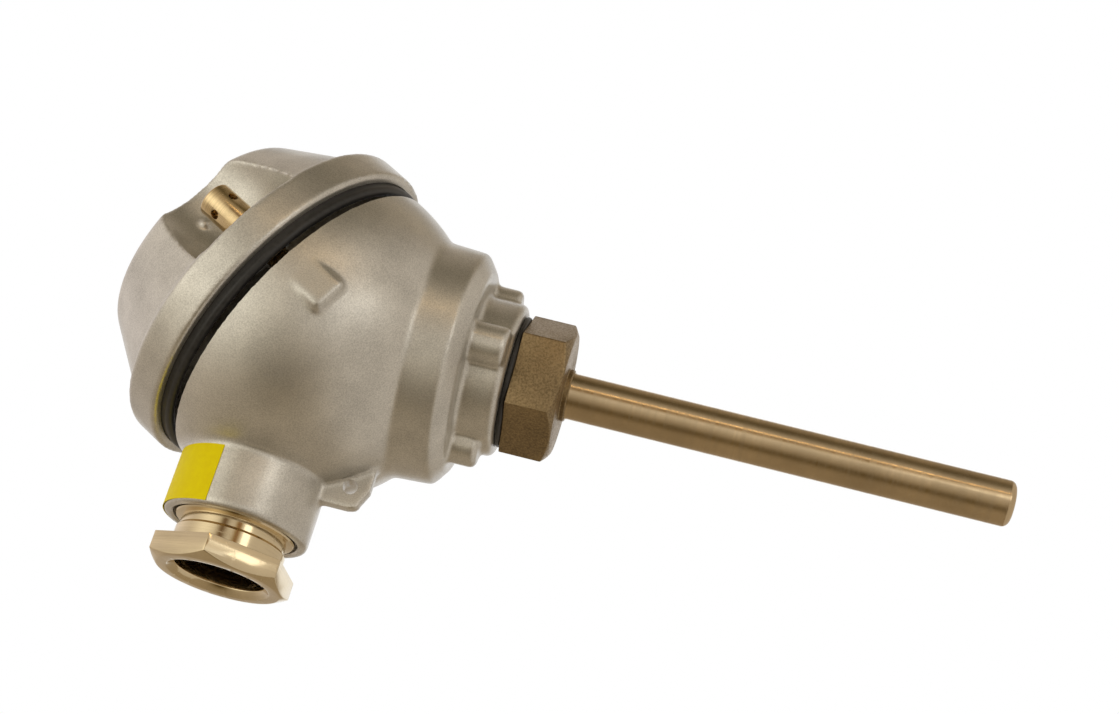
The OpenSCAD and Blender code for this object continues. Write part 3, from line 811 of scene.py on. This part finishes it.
    def entry_bore(self, scene):
        """Threaded hole, mouth recess and cable hole of the entry."""
        sizes = scene.entry_sizes
        lead = 0.4 * MM
        end = sizes.reach
        mouth = end - sizes.mouth_depth
        back = sizes.shelf - 12 * MM
        cable, thread, rim = sizes.cable_radius, sizes.thread_radius, sizes.mouth_radius
        outline = [(0, back), (cable, back), (cable, sizes.shelf), (thread, sizes.shelf),
                   (thread, mouth - lead), (thread + lead, mouth), (rim, mouth), (rim, end - lead),
                   (rim + 3 * lead, end + 2 * lead), (0, end + 2 * lead)]
        return turned("entry_bore", ENTRY, outline)

    def neck_bore(self, scene):
        """Threaded hole that the adapter screws into."""
        radius = scene.head_sizes.thread_radius
        floor = SEAT + scene.head_sizes.floor_height
        return rod("neck_bore", STEM, radius, SEAT - 1 * MM, floor + 1 * MM, 128)

    def holes(self, scene):
        """Screw holes, the earth screw's hole and the lug's hole."""
        sizes = scene.head_sizes
        floor = SEAT + sizes.floor_height
        fit = 0.05 * MM
        holes = [rod("lid_hole", place, scene.lid_sizes.screw_radius + fit, -12 * MM, 1 * MM)
                 for place in screw_places(scene)]
        for side in (-1, 1):
            spot = Place(STEM.at(sizes.lump_circle, 0, 90 * side), STEM.axis, STEM.side)
            holes.append(rod("mount_hole", spot, 2 * MM + fit, floor - 9 * MM, floor + 1 * MM))
        holes.append(rod("earth_hole", self.earth_place(), 2 * MM + fit, -1 * MM, 6 * MM))
        points = self.lug_points(scene)
        outer = max(x for x, z in points)
        foot = min(z for x, z in points) + 1.3 * MM
        spot = Place((-outer + 4.5 * MM, -2 * MM, foot + 2.9 * MM), (0, 1, 0), (1, 0, 0))
        holes.append(rod("lug_hole", spot, scene.entry_sizes.lug_hole, -4 * MM, 4 * MM))
        return holes


class MakeLid(Maker, bpy.types.Operator):
    """Model the cast lid with its band, slanted side, crown and two scoops"""
    bl_idname = "thermometer.lid"
    bl_label = "Lid"

    def make(self, scene):
        sizes = scene.lid_sizes
        place = lid_place(scene)
        lid = self.outside(sizes, place)
        cut(lid, *[self.scoop(sizes, place, side) for side in (-1, 1)])
        lid = fused("cast_lid", [lid, self.casting_bead(place)], scene.head_sizes.voxel, rounds=6,
                    triangles=90000)
        cut(lid, self.inside(sizes, place), self.groove(sizes, place))
        for screw in screw_places(scene):
            cut(lid, self.screw_hole(sizes, screw))
        smooth(lid)
        hand_over(lid, "lid", "cast_paint", "cast_paint", "lid")

    def outside(self, sizes, place):
        """Outer shape of the lid before the scoops are cut."""
        edge = 1.1 * MM
        band_top = sizes.gap + sizes.band
        crown = band_top + sizes.side_height
        slant = math.degrees(math.atan((sizes.foot_radius - sizes.crown_radius) / sizes.side_height))
        root = math.tan(math.radians((90 - slant) / 2))
        foot = min(2.3 * MM, 0.95 * (sizes.rim_radius - edge - sizes.foot_radius) / root)
        shoulder = sizes.crown_radius - sizes.crown_round * root
        dome = (shoulder ** 2 + sizes.dome ** 2) / (2 * sizes.dome)
        spread_angle = math.degrees(math.asin(shoulder / dome))
        outline = [(0, sizes.gap)]
        outline += arc(sizes.rim_radius - 0.7 * MM, sizes.gap + 0.7 * MM, 0.7 * MM, -90, 0, 5)
        outline += arc(sizes.rim_radius - edge, band_top - edge, edge, 0, 90, 6)
        outline += arc(sizes.foot_radius + foot * root, band_top + foot, foot, 270, 180 + slant, 6)
        outline += arc(shoulder, crown - sizes.crown_round, sizes.crown_round, slant, 90)
        outline += arc(0, crown + sizes.dome - dome, dome, 90 - spread_angle, 90, 10)[1:]
        return turned("lid_outside", place, outline, 192)

    def scoop(self, sizes, place, side):
        """Round cutter with a rounded lower edge."""
        edge = 1.6 * MM
        spot = place.moved(sizes.scoop_side, side * sizes.scoop_across)
        top = sizes.scoop_floor + 30 * MM
        outline = [(0, sizes.scoop_floor)]
        outline += arc(sizes.scoop_radius - edge, sizes.scoop_floor + edge, edge, -90, 0, 6)
        outline += [(sizes.scoop_radius, top), (0, top)]
        return turned("scoop", spot, outline, 96)

    def casting_bead(self, place):
        """Small bead that the casting left on the wall of the front scoop."""
        spot = place.moved(-3.1 * MM, -21.7 * MM, 24.4 * MM).origin
        return made("casting_bead", bpy.ops.mesh.primitive_ico_sphere_add, subdivisions=3,
                    radius=1.1 * MM, location=spot)

    def inside(self, sizes, place):
        """Hollow under the lid, kept clear of the scoops' walls."""
        dish = sizes.seal_radius - sizes.seal_width - 1 * MM
        band_top = sizes.gap + sizes.band
        crown = band_top + sizes.side_height
        slant = math.atan((sizes.foot_radius - sizes.crown_radius) / sizes.side_height)
        top = crown - sizes.wall
        edge = 1.5 * MM
        crown_inside = sizes.crown_radius - sizes.wall / math.cos(slant)
        outline = [(0, 0), (dish, 0), (dish, band_top - sizes.wall / 2), (crown_inside, top - edge),
                   (crown_inside - edge, top), (0, top)]
        hollow = turned("lid_hollow", place, outline, 128)
        walls = []
        for side in (-1, 1):
            spot = place.moved(sizes.scoop_side, side * sizes.scoop_across)
            walls.append(rod("scoop_wall", spot, sizes.scoop_radius + sizes.wall,
                             sizes.scoop_floor - 3 * MM, crown + 5 * MM))
        return cut(hollow, *walls)

    def groove(self, sizes, place):
        """Groove that holds the rubber ring."""
        inner = sizes.seal_radius - sizes.seal_width
        low, high = sizes.gap - 1 * MM, sizes.gap + 1.9 * MM
        outline = [(inner, low), (sizes.seal_radius, low), (sizes.seal_radius, high), (inner, high),
                   (inner, low)]
        return turned("groove", place, outline, 128)

    def screw_hole(self, sizes, place):
        """Hole for a lid screw with the clip's pocket below it."""
        fit = 0.05 * MM
        pocket = 4.6 * MM
        shelf = sizes.scoop_floor - 3 * MM
        top = sizes.scoop_floor + 5 * MM
        radius = sizes.screw_radius + fit
        return turned("screw_hole", place, [(0, 0), (pocket, 0), (pocket, shelf), (radius, shelf),
                                            (radius, top), (0, top)], 64)


class MakeLidSeal(Maker, bpy.types.Operator):
    """Model the rubber ring under the lid's rim"""
    bl_idname = "thermometer.lid_seal"
    bl_label = "Lid seal"

    def make(self, scene):
        sizes = scene.lid_sizes
        bead = sizes.seal_width / 2
        middle = sizes.seal_radius - bead
        top = sizes.gap + 1.9 * MM
        waist = 0.25 * MM
        outline = arc(middle, sizes.seal_height + bead, bead, 160, 380, 16)
        outer, inner = middle + bead, middle - bead
        outline += [(outer - waist, sizes.gap - waist), (outer, sizes.gap + waist), (outer, top),
                    (inner, top), (inner, sizes.gap + waist), (inner + waist, sizes.gap - waist),
                    outline[0]]
        ring = turned("lid_seal_ring", lid_place(scene), outline, 192)
        smooth(ring, 50)
        hand_over(ring, "lid", "rubber_black", "rubber", "lid_seal")


class MakeLidScrews(Maker, bpy.types.Operator):
    """Model the two captive lid screws with capstan heads and threaded ends"""
    bl_idname = "thermometer.lid_screws"
    bl_label = "Lid screws"

    def make(self, scene):
        for place, side in zip(screw_places(scene), ("front", "rear")):
            screw = self.screw(scene.lid_sizes, place, side)
            hand_over(screw, f"screw_{side}", "screw_brass", "screw_brass",
                      f"lid_screw_{side}")
            dress(f"screw_clip_{side}", "steel_clip")

    def screw(self, sizes, place, side):
        """Shank, thread and cross-drilled head."""
        base = sizes.scoop_floor
        top = base + sizes.head_height
        depth = 0.35 * MM
        pitch = 0.8 * MM
        end = -10 * MM
        root = sizes.screw_radius - depth
        edge = 0.5 * MM
        outline = [(0, end), (root - edge, end), (root, end + edge), (root, 4.4 * MM),
                   (sizes.screw_radius, 4.8 * MM), (sizes.screw_radius, base - 0.1 * MM),
                   (sizes.head_radius - 0.2 * MM, base), (sizes.head_radius, base + 0.2 * MM)]
        outline += arc(sizes.head_radius - edge, top - edge, edge, 0, 90, 4)
        outline += [(0, top)]
        screw = turned(f"capstan_screw_{side}", place, outline, 96)
        mirror = -1 if side == "rear" else 1
        for turn in (0, 90):
            hole = place.moved(0, 0, top - 4.1 * MM)
            sight = hole.at(1, 0, mirror * sizes.cross_turn + turn + 90) - hole.origin
            drill = Place(hole.origin, sight, place.axis)
            cut(screw, rod("cross_hole", drill, 1 * MM, -3 * sizes.head_radius, 3 * sizes.head_radius, 32))
        break_edges(screw, 0.12 * MM, 32)
        ridge = thread_ridge("screw_thread", place, sizes.screw_radius, depth, end + edge, 4.2 * MM,
                             pitch, 36)
        smooth(ridge)
        return join(screw.name, [screw, ridge])


class MakeGland(Maker, bpy.types.Operator):
    """Model the pressure screw, the washer and the rubber seal of the cable entry"""
    bl_idname = "thermometer.gland"
    bl_label = "Cable gland"

    def make(self, scene):
        sizes = scene.entry_sizes
        low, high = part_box("pressure_screw")
        nose, end = -high[0], -low[0]
        screw = self.pressure_screw(sizes, nose, end)
        hand_over(screw, "gland", "nickel_brass", "gland", "pressure_screw")
        washer = refined("thrust_washer", "bevelled_washer", 0.15 * MM)
        hand_over(washer, "washer", "steel_plain", "steel_plain", "thrust_washer")
        seal = self.cable_seal()
        hand_over(seal, "head", "rubber_black", "rubber", "cable_seal")

    def pressure_screw(self, sizes, nose, end):
        """Hollow hexagon screw with a collar, a ring at the mouth and a thread."""
        bore = sizes.cable_radius
        thread = sizes.thread_radius - 0.05 * MM
        depth = 0.55 * sizes.pitch
        root = thread - depth
        hex_foot = end - 5.2 * MM
        collar = hex_foot - 3.2 * MM
        collar_radius = thread - 0.2 * MM
        lip = sizes.reach - 1.3 * MM
        lip_radius = thread + 0.85 * MM
        relief = root + 0.1 * MM
        edge = 0.3 * MM
        sink = 1.4 * MM
        outline = [(bore, nose), (root - edge, nose), (root, nose + edge), (root, lip - edge),
                   (thread + 0.5 * MM, lip), (lip_radius, lip + 0.3 * MM), (lip_radius, lip + 1 * MM),
                   (thread + 0.6 * MM, lip + 1.3 * MM), (relief, lip + 1.5 * MM),
                   (relief, collar - 0.4 * MM), (thread - 0.4 * MM, collar),
                   (collar_radius, collar + 0.2 * MM), (collar_radius, hex_foot + 1 * MM),
                   (bore + 1 * MM, hex_foot + 1 * MM), (bore, hex_foot), (bore, nose)]
        screw = turned("gland_screw", ENTRY, outline, 128)
        head = hexagon("gland_hexagon", ENTRY, sizes.hexagon, hex_foot, end, False, True,
                       sizes.hexagon_turn)
        outline = [(0, hex_foot - 1 * MM), (bore, hex_foot - 1 * MM), (bore, end - sink),
                   (bore + 1.2 * sink, end + 0.2 * sink), (0, end + 0.2 * sink)]
        cut(head, turned("gland_bore", ENTRY, outline, 128))
        break_edges(head, 0.16 * MM, 24)
        smooth(screw, 30)
        ridge = thread_ridge("gland_thread", ENTRY, thread, depth, nose + edge, lip - 1.2 * sizes.pitch,
                             sizes.pitch, 64)
        smooth(ridge)
        return join("gland_screw", [screw, head, ridge])

    def cable_seal(self):
        """Rubber plug with rounded rims, waisted in its bore."""
        low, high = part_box("cable_seal")
        inner, outer = -high[0], -low[0]
        radius = (high[1] - low[1]) / 2
        bore = 6.5 * MM
        edge = 0.7 * MM
        outline = arc(bore + edge, inner + edge, edge, 180, 270, 4)
        outline += arc(radius - edge, inner + edge, edge, -90, 0, 4)
        outline += arc(radius - edge, outer - edge, edge, 0, 90, 4)
        outline += arc(bore + edge, outer - edge, edge, 90, 180, 4)
        outline += [outline[0]]
        return smooth(turned("gland_seal", ENTRY, outline, 96))


class MakeLabel(Maker, bpy.types.Operator):
    """Model the yellow foil label round the entry boss"""
    bl_idname = "thermometer.label"
    bl_label = "Label"

    def make(self, scene):
        sizes = scene.entry_sizes
        low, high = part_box("entry_label")
        near, far = -high[0], -low[0]
        skin = sizes.boss_radius + 0.03 * MM
        edge = 0.8 * MM
        outline = [(skin, near), (skin, near + edge), (skin, far - edge), (skin, far)]
        label = turned("foil_label", ENTRY, outline, steps=42, angle=105, start=30)
        modify(label, "SOLIDIFY", thickness=0.1 * MM, offset=1.0)
        smooth(label)
        hand_over(label, "head", "label_yellow", "label", "entry_label")


class MakeStem(Maker, bpy.types.Operator):
    """Model the hexagonal adapter, its seal and the protection tube"""
    bl_idname = "thermometer.stem"
    bl_label = "Adapter and tube"

    def make(self, scene):
        sizes = scene.stem_sizes
        adapter = self.adapter(sizes)
        hand_over(adapter, "head", "steel_blasted", "steel_blasted", "hex_adapter")
        tube = self.tube(sizes)
        hand_over(tube, "head", "steel_turned", "steel_turned", "protection_tube")
        seal = self.neck_seal()
        hand_over(seal, "head", "rubber_black", "rubber", "neck_seal")

    def neck_seal(self):
        """Flat rubber ring, squeezed a little out of round at its rim."""
        low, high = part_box("neck_seal")
        inner = 12.2 * MM
        edge = 0.5 * (high[2] - low[2])
        rim = high[0]
        outline = [(inner, low[2])] + arc(rim - edge, low[2] + edge, edge, -90, 90)
        outline += [(inner, high[2]), (inner, low[2])]
        return smooth(turned("neck_ring", STEM, outline, 128))

    def adapter(self, sizes):
        """Shoulder, hexagon and thread."""
        seal_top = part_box("neck_seal")[1][2]
        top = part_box("hex_adapter")[1][2]
        hex_top = sizes.shoulder_height + sizes.hexagon_height
        thread = 11.95 * MM
        pitch = 1.5 * MM
        depth = 0.5 * pitch
        edge = 0.25 * MM
        head = hexagon("adapter", STEM, sizes.hexagon, sizes.shoulder_height, hex_top, True, False,
                       sizes.hexagon_turn)
        cut(head, rod("adapter_bore", STEM, sizes.bore, 0, hex_top + 1 * MM))
        break_edges(head, 0.3 * MM, 24, 3)
        bore, shoulder_radius = sizes.bore, sizes.shoulder_radius
        sunk = sizes.shoulder_height + 0.4 * MM
        outline = [(bore, 0), (shoulder_radius - edge, 0), (shoulder_radius, edge),
                   (shoulder_radius, sizes.shoulder_height - 0.2 * MM),
                   (shoulder_radius + 0.6 * MM, sunk), (bore, sunk), (bore, 0)]
        shoulder = turned("adapter_shoulder", STEM, outline, 96)
        root = thread - depth
        foot = hex_top - 0.4 * MM
        outline = [(bore, foot), (root, foot), (root, top - edge), (root - edge, top), (bore, top),
                   (bore, foot)]
        neck = turned("adapter_neck", STEM, outline, 96)
        ridge = thread_ridge("adapter_thread", STEM, thread, depth, seal_top, top - 0.5 * MM, pitch, 64)
        for piece in (shoulder, neck, ridge):
            smooth(piece)
        return join("adapter", [head, shoulder, neck, ridge])

    def tube(self, sizes):
        """Drawn tube with a closed, rounded tip."""
        low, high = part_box("protection_tube")
        radius = high[0]
        tip = low[2]
        root = 0.15 * MM
        edge = sizes.tip_round
        outline = [(0, tip)] + arc(radius - edge, tip + edge, edge, -90, 0)
        floor = tip + sizes.floor
        outline += [(radius, -0.5 * MM), (radius + root, -0.1 * MM), (radius + root, 0), (sizes.bore, 0),
                    (sizes.bore, floor + 0.5 * MM), (sizes.bore - 0.5 * MM, floor), (0, floor)]
        return smooth(turned("stem_tube", STEM, outline, 96))


class MakeInsert(Maker, bpy.types.Operator):
    """Refine the measuring insert: flange, terminal block, posts, screws and leads"""
    bl_idname = "thermometer.insert"
    bl_label = "Measuring insert"

    PIECES = {
        "insert_flange": ("insert", "steel_plain", "steel_plain", 0.2),
        "terminal_block": ("insert", "ceramic", "ceramic", 0.4),
        "terminal_posts": ("insert", "terminal_brass", "terminal_brass", 0.25),
        "terminal_screws": ("insert", "terminal_brass", "terminal_brass", 0.25),
        "mounting_screws": ("head", "steel_plain", "steel_plain", 0.2),
        "earth_screw": ("head", "terminal_brass", "terminal_brass", 0.2),
        "earth_washer": ("head", "steel_plain", "steel_plain", 0.12),
        "lead_wires": ("insert", "lead_red", "lead", 0.05),
        "insert_sheath": ("insert", "steel_plain", "steel_plain", 0.1),
    }

    def make(self, scene):
        for node, (body, slot, finish_name, width) in self.PIECES.items():
            piece = refined(node, f"{node}_refined", width * MM)
            hand_over(piece, body, slot, finish_name, node)
        dress("mineral_core", "ceramic")
        dress("sensing_element", "ceramic")


class MakeSprings(Maker, bpy.types.Operator):
    """Model the two mounting springs as fixed helices; the real ones shorten as the insert is pushed"""
    bl_idname = "thermometer.springs"
    bl_label = "Mounting springs"

    def make(self, scene):
        sizes = scene.stem_sizes
        low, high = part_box("mounting_springs")
        springs = []
        for side in (-1, 1):
            spot = STEM.at(scene.head_sizes.lump_circle, 0, 90 * side)
            springs.append(self.spring(sizes, spot, low[2], high[2]))
        pair = join("springs", springs)
        smooth(pair, 60)
        hand_over(pair, "head", "steel_clip", "steel_clip", "mounting_springs")
        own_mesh(pair)

    def spring(self, sizes, spot, low, high):
        """Helix of round wire whose end turns lie flat."""
        wire = sizes.spring_wire
        flat = 2.2 * wire
        whole = high - low - 2 * wire
        steps = 24
        ring = made("wire", bpy.ops.mesh.primitive_circle_add, vertices=12, radius=wire,
                    rotation=(math.radians(90), 0, 0), location=(sizes.spring_radius, 0, wire))
        stretches = [(0, flat, 1), (flat, whole - 2 * flat, sizes.spring_turns - 2), (whole - flat, flat, 1)]
        parts = []
        for begin, climb, turns in stretches:
            part = ring.copy()
            part.data = ring.data.copy()
            bpy.context.collection.objects.link(part)
            modify(part, "SCREW", axis="Z", angle=math.tau * turns, screw_offset=climb,
                   steps=steps * turns, render_steps=steps * turns, iterations=1, use_merge_vertices=True)
            part.location = (0, 0, begin)
            parts.append(settle(part))
        bpy.data.objects.remove(ring)
        spring = join("spring", parts)
        edit(spring)
        bpy.ops.mesh.remove_doubles(threshold=10 * WELD)
        bpy.ops.object.mode_set(mode="OBJECT")
        close_holes(spring)
        spring.location = (spot.x, spot.y, low)
        return settle(spring)


class MakeStage(Maker, bpy.types.Operator):
    """Set up the floor, the room, the lamps and the camera"""
    bl_idname = "thermometer.stage"
    bl_label = "Stage"

    CAMERA_AT = Vector((-0.1498, -0.3684, -0.0314))
    CAMERA_VIEW = Vector((0.3928, 0.9153, 0.0891))
    CAMERA_UP = Vector((0.8844, -0.4025, 0.2362))
    BACKDROP_FULL = math.cos(math.radians(25))
    BACKDROP_FADES = math.cos(math.radians(33))
    ROOM_LEVEL = (0.36, 0.29, 0.20)
    ROOM_DARKEST = (0.03, 0.025, 0.02)
    ROOM_LIGHTS = {
        "window_below": ((0.2, -0.8, -0.6), 8, (0.8, 0.85, 0.9)),
        "ceiling_light": ((-0.1, -0.7, 0.7), 8, (1.1, 1.1, 1.0)),
        "wall_behind": ((0.3, 0.5, 0.8), 4, (0.5, 0.5, 0.55)),
        "dark_doorway": ((-0.8, -0.6, 0.0), 20, (-0.4, -0.35, -0.3)),
        "dark_cupboard": ((1.0, -0.4, 0.0), 10, (-0.3, -0.25, -0.2)),
        "dark_table_edge": ((0.3, -0.9, -0.35), 90, (-0.8, -0.9, -1.0)),
        "dark_viewer": ((0.3, -0.95, 0.2), 90, (-0.5, -0.5, -0.45)),
        "blue_glint": ((0.82, -0.15, -0.54), 1500, (6.0, 8.0, 11.0)),
    }
    LAMPS = {
        "strip": ((0.30, -0.52, -0.045), (0, 0, -0.045), (0.022, 0.45), 0.10, (1.0, 0.62, 0.22)),
        "card": ((0.07, -0.375, -0.255), (-0.055, 0, 0.06), (0.14, 0.14), 0.08, (1.0, 1.0, 0.95)),
    }

    def make(self, scene):
        self.camera(scene)
        self.room(scene)
        self.floor()
        for name, (spot, target, size, power, tint) in self.LAMPS.items():
            self.lamp(name, Vector(spot), Vector(target), size, power, tint)
        scene.view_settings.view_transform = "Standard"

    def camera(self, scene):
        """Camera that looks along the entry side with the stem lying level in the picture."""
        bpy.ops.object.camera_add(location=self.CAMERA_AT)
        camera = bpy.context.object
        ahead = self.CAMERA_VIEW.normalized()
        right = ahead.cross(self.CAMERA_UP).normalized()
        up = right.cross(ahead)
        camera.rotation_euler = Matrix((right, up, -ahead)).transposed().to_euler()
        camera.data.sensor_width = 36
        camera.data.lens = 59.77
        camera.data.clip_start = 0.01
        scene.camera = camera

    def room(self, scene):
        """Room: soft lights round the piece, and a plain white backdrop behind it."""
        world = bpy.data.worlds.new("room")
        scene.world = world
        world.use_nodes = True
        tree = world.node_tree
        tree.nodes.clear()
        where = tree.nodes.new("ShaderNodeTexCoord").outputs["Generated"]
        total = self.ROOM_LEVEL
        for direction, sharpness, tint in self.ROOM_LIGHTS.values():
            total = self.glow(tree, self.facing(tree, where, direction), sharpness, tint, total)
        path = tree.nodes.new("ShaderNodeLightPath")
        seen = maths(tree, "MAXIMUM", path.outputs["Is Camera Ray"], path.outputs["Is Glossy Ray"])
        seen = maths(tree, "MAXIMUM", seen, path.outputs["Is Transmission Ray"])
        behind = self.facing(tree, where, self.CAMERA_VIEW)
        seen = maths(tree, "MULTIPLY", seen, spread(tree, behind, self.BACKDROP_FADES, self.BACKDROP_FULL))
        held = vector_maths(tree, "MAXIMUM", total, self.ROOM_DARKEST)
        soft = add_node(tree, "Background", {"Color": held})
        white = add_node(tree, "Background", {"Color": (1.0, 1.0, 1.0, 1.0)})
        mixed = add_node(tree, "MixShader", {0: seen, 1: soft, 2: white})
        tree.links.new(mixed, tree.nodes.new("ShaderNodeOutputWorld").inputs["Surface"])

    def facing(self, tree, where, direction):
        """How nearly a ray goes in a direction: 1 when it goes straight that way."""
        aim = Vector(direction).normalized()
        return vector_maths(tree, "DOT_PRODUCT", where, aim, output="Value")

    def glow(self, tree, facing, sharpness, tint, below):
        """Round bright or dark zone in one direction, added to the ones before it."""
        away = maths(tree, "MULTIPLY", maths(tree, "SUBTRACT", facing, 1.0), sharpness)
        return vector_maths(tree, "MULTIPLY_ADD", maths(tree, "EXPONENT", away, 0.0), tint, below)

    def floor(self):
        """Pale round floor below the stem's tip."""
        floor = made("floor", bpy.ops.mesh.primitive_circle_add, vertices=96, radius=0.6,
                     fill_type="NGON", location=(0, 0, -0.3))
        finish("floor_finish", (0.85, 0.85, 0.85), 0.0, 0.8)
        floor.data.materials.append(bpy.data.materials["floor_finish"])

    def lamp(self, name, spot, target, size, power, tint):
        """Rectangular soft lamp that faces its target, with its long side upright."""
        bpy.ops.object.light_add(type="AREA", location=spot)
        lamp = bpy.context.object
        lamp.name = f"{name}_lamp"
        lamp.rotation_euler = (target - spot).to_track_quat("-Z", "Y").to_euler()
        lamp.data.shape = "RECTANGLE"
        lamp.data.size, lamp.data.size_y = size
        lamp.data.energy = power
        lamp.data.color = tint


class ThermometerPanel(bpy.types.Panel):
    """Sizes, finishes and operators of the thermometer"""
    bl_idname = "VIEW3D_PT_thermometer"
    bl_label = "Thermometer"
    bl_space_type = "VIEW_3D"
    bl_region_type = "UI"
    bl_category = "Thermometer"

    def draw(self, context):
        for name, group in GROUPS.items():
            box = self.layout.box()
            box.label(text=group.__doc__)
            for prop in group.__annotations__:
                box.prop(getattr(context.scene, name), prop, text=prop.replace("_", " ").capitalize())
        for operator in OPERATORS:
            self.layout.operator(operator.bl_idname)


OPERATORS = [MakeFinishes, MakeHeadBody, MakeLid, MakeLidSeal, MakeLidScrews, MakeGland, MakeLabel,
             MakeStem, MakeInsert, MakeSprings, MakeStage]


def register():
    for cls in (*GROUPS.values(), *OPERATORS, ThermometerPanel):
        bpy.utils.register_class(cls)
    for name, group in GROUPS.items():
        setattr(bpy.types.Scene, name, PointerProperty(type=group))


def unregister():
    for name in GROUPS:
        delattr(bpy.types.Scene, name)
    for cls in (ThermometerPanel, *reversed(OPERATORS), *reversed(GROUPS.values())):
        bpy.utils.unregister_class(cls)


def main():
    register()
    bpy.ops.object.select_all(action="DESELECT")
    for operator in OPERATORS:
        group, name = operator.bl_idname.split(".")
        getattr(getattr(bpy.ops, group), name)()


if __name__ == "__main__":
    main()
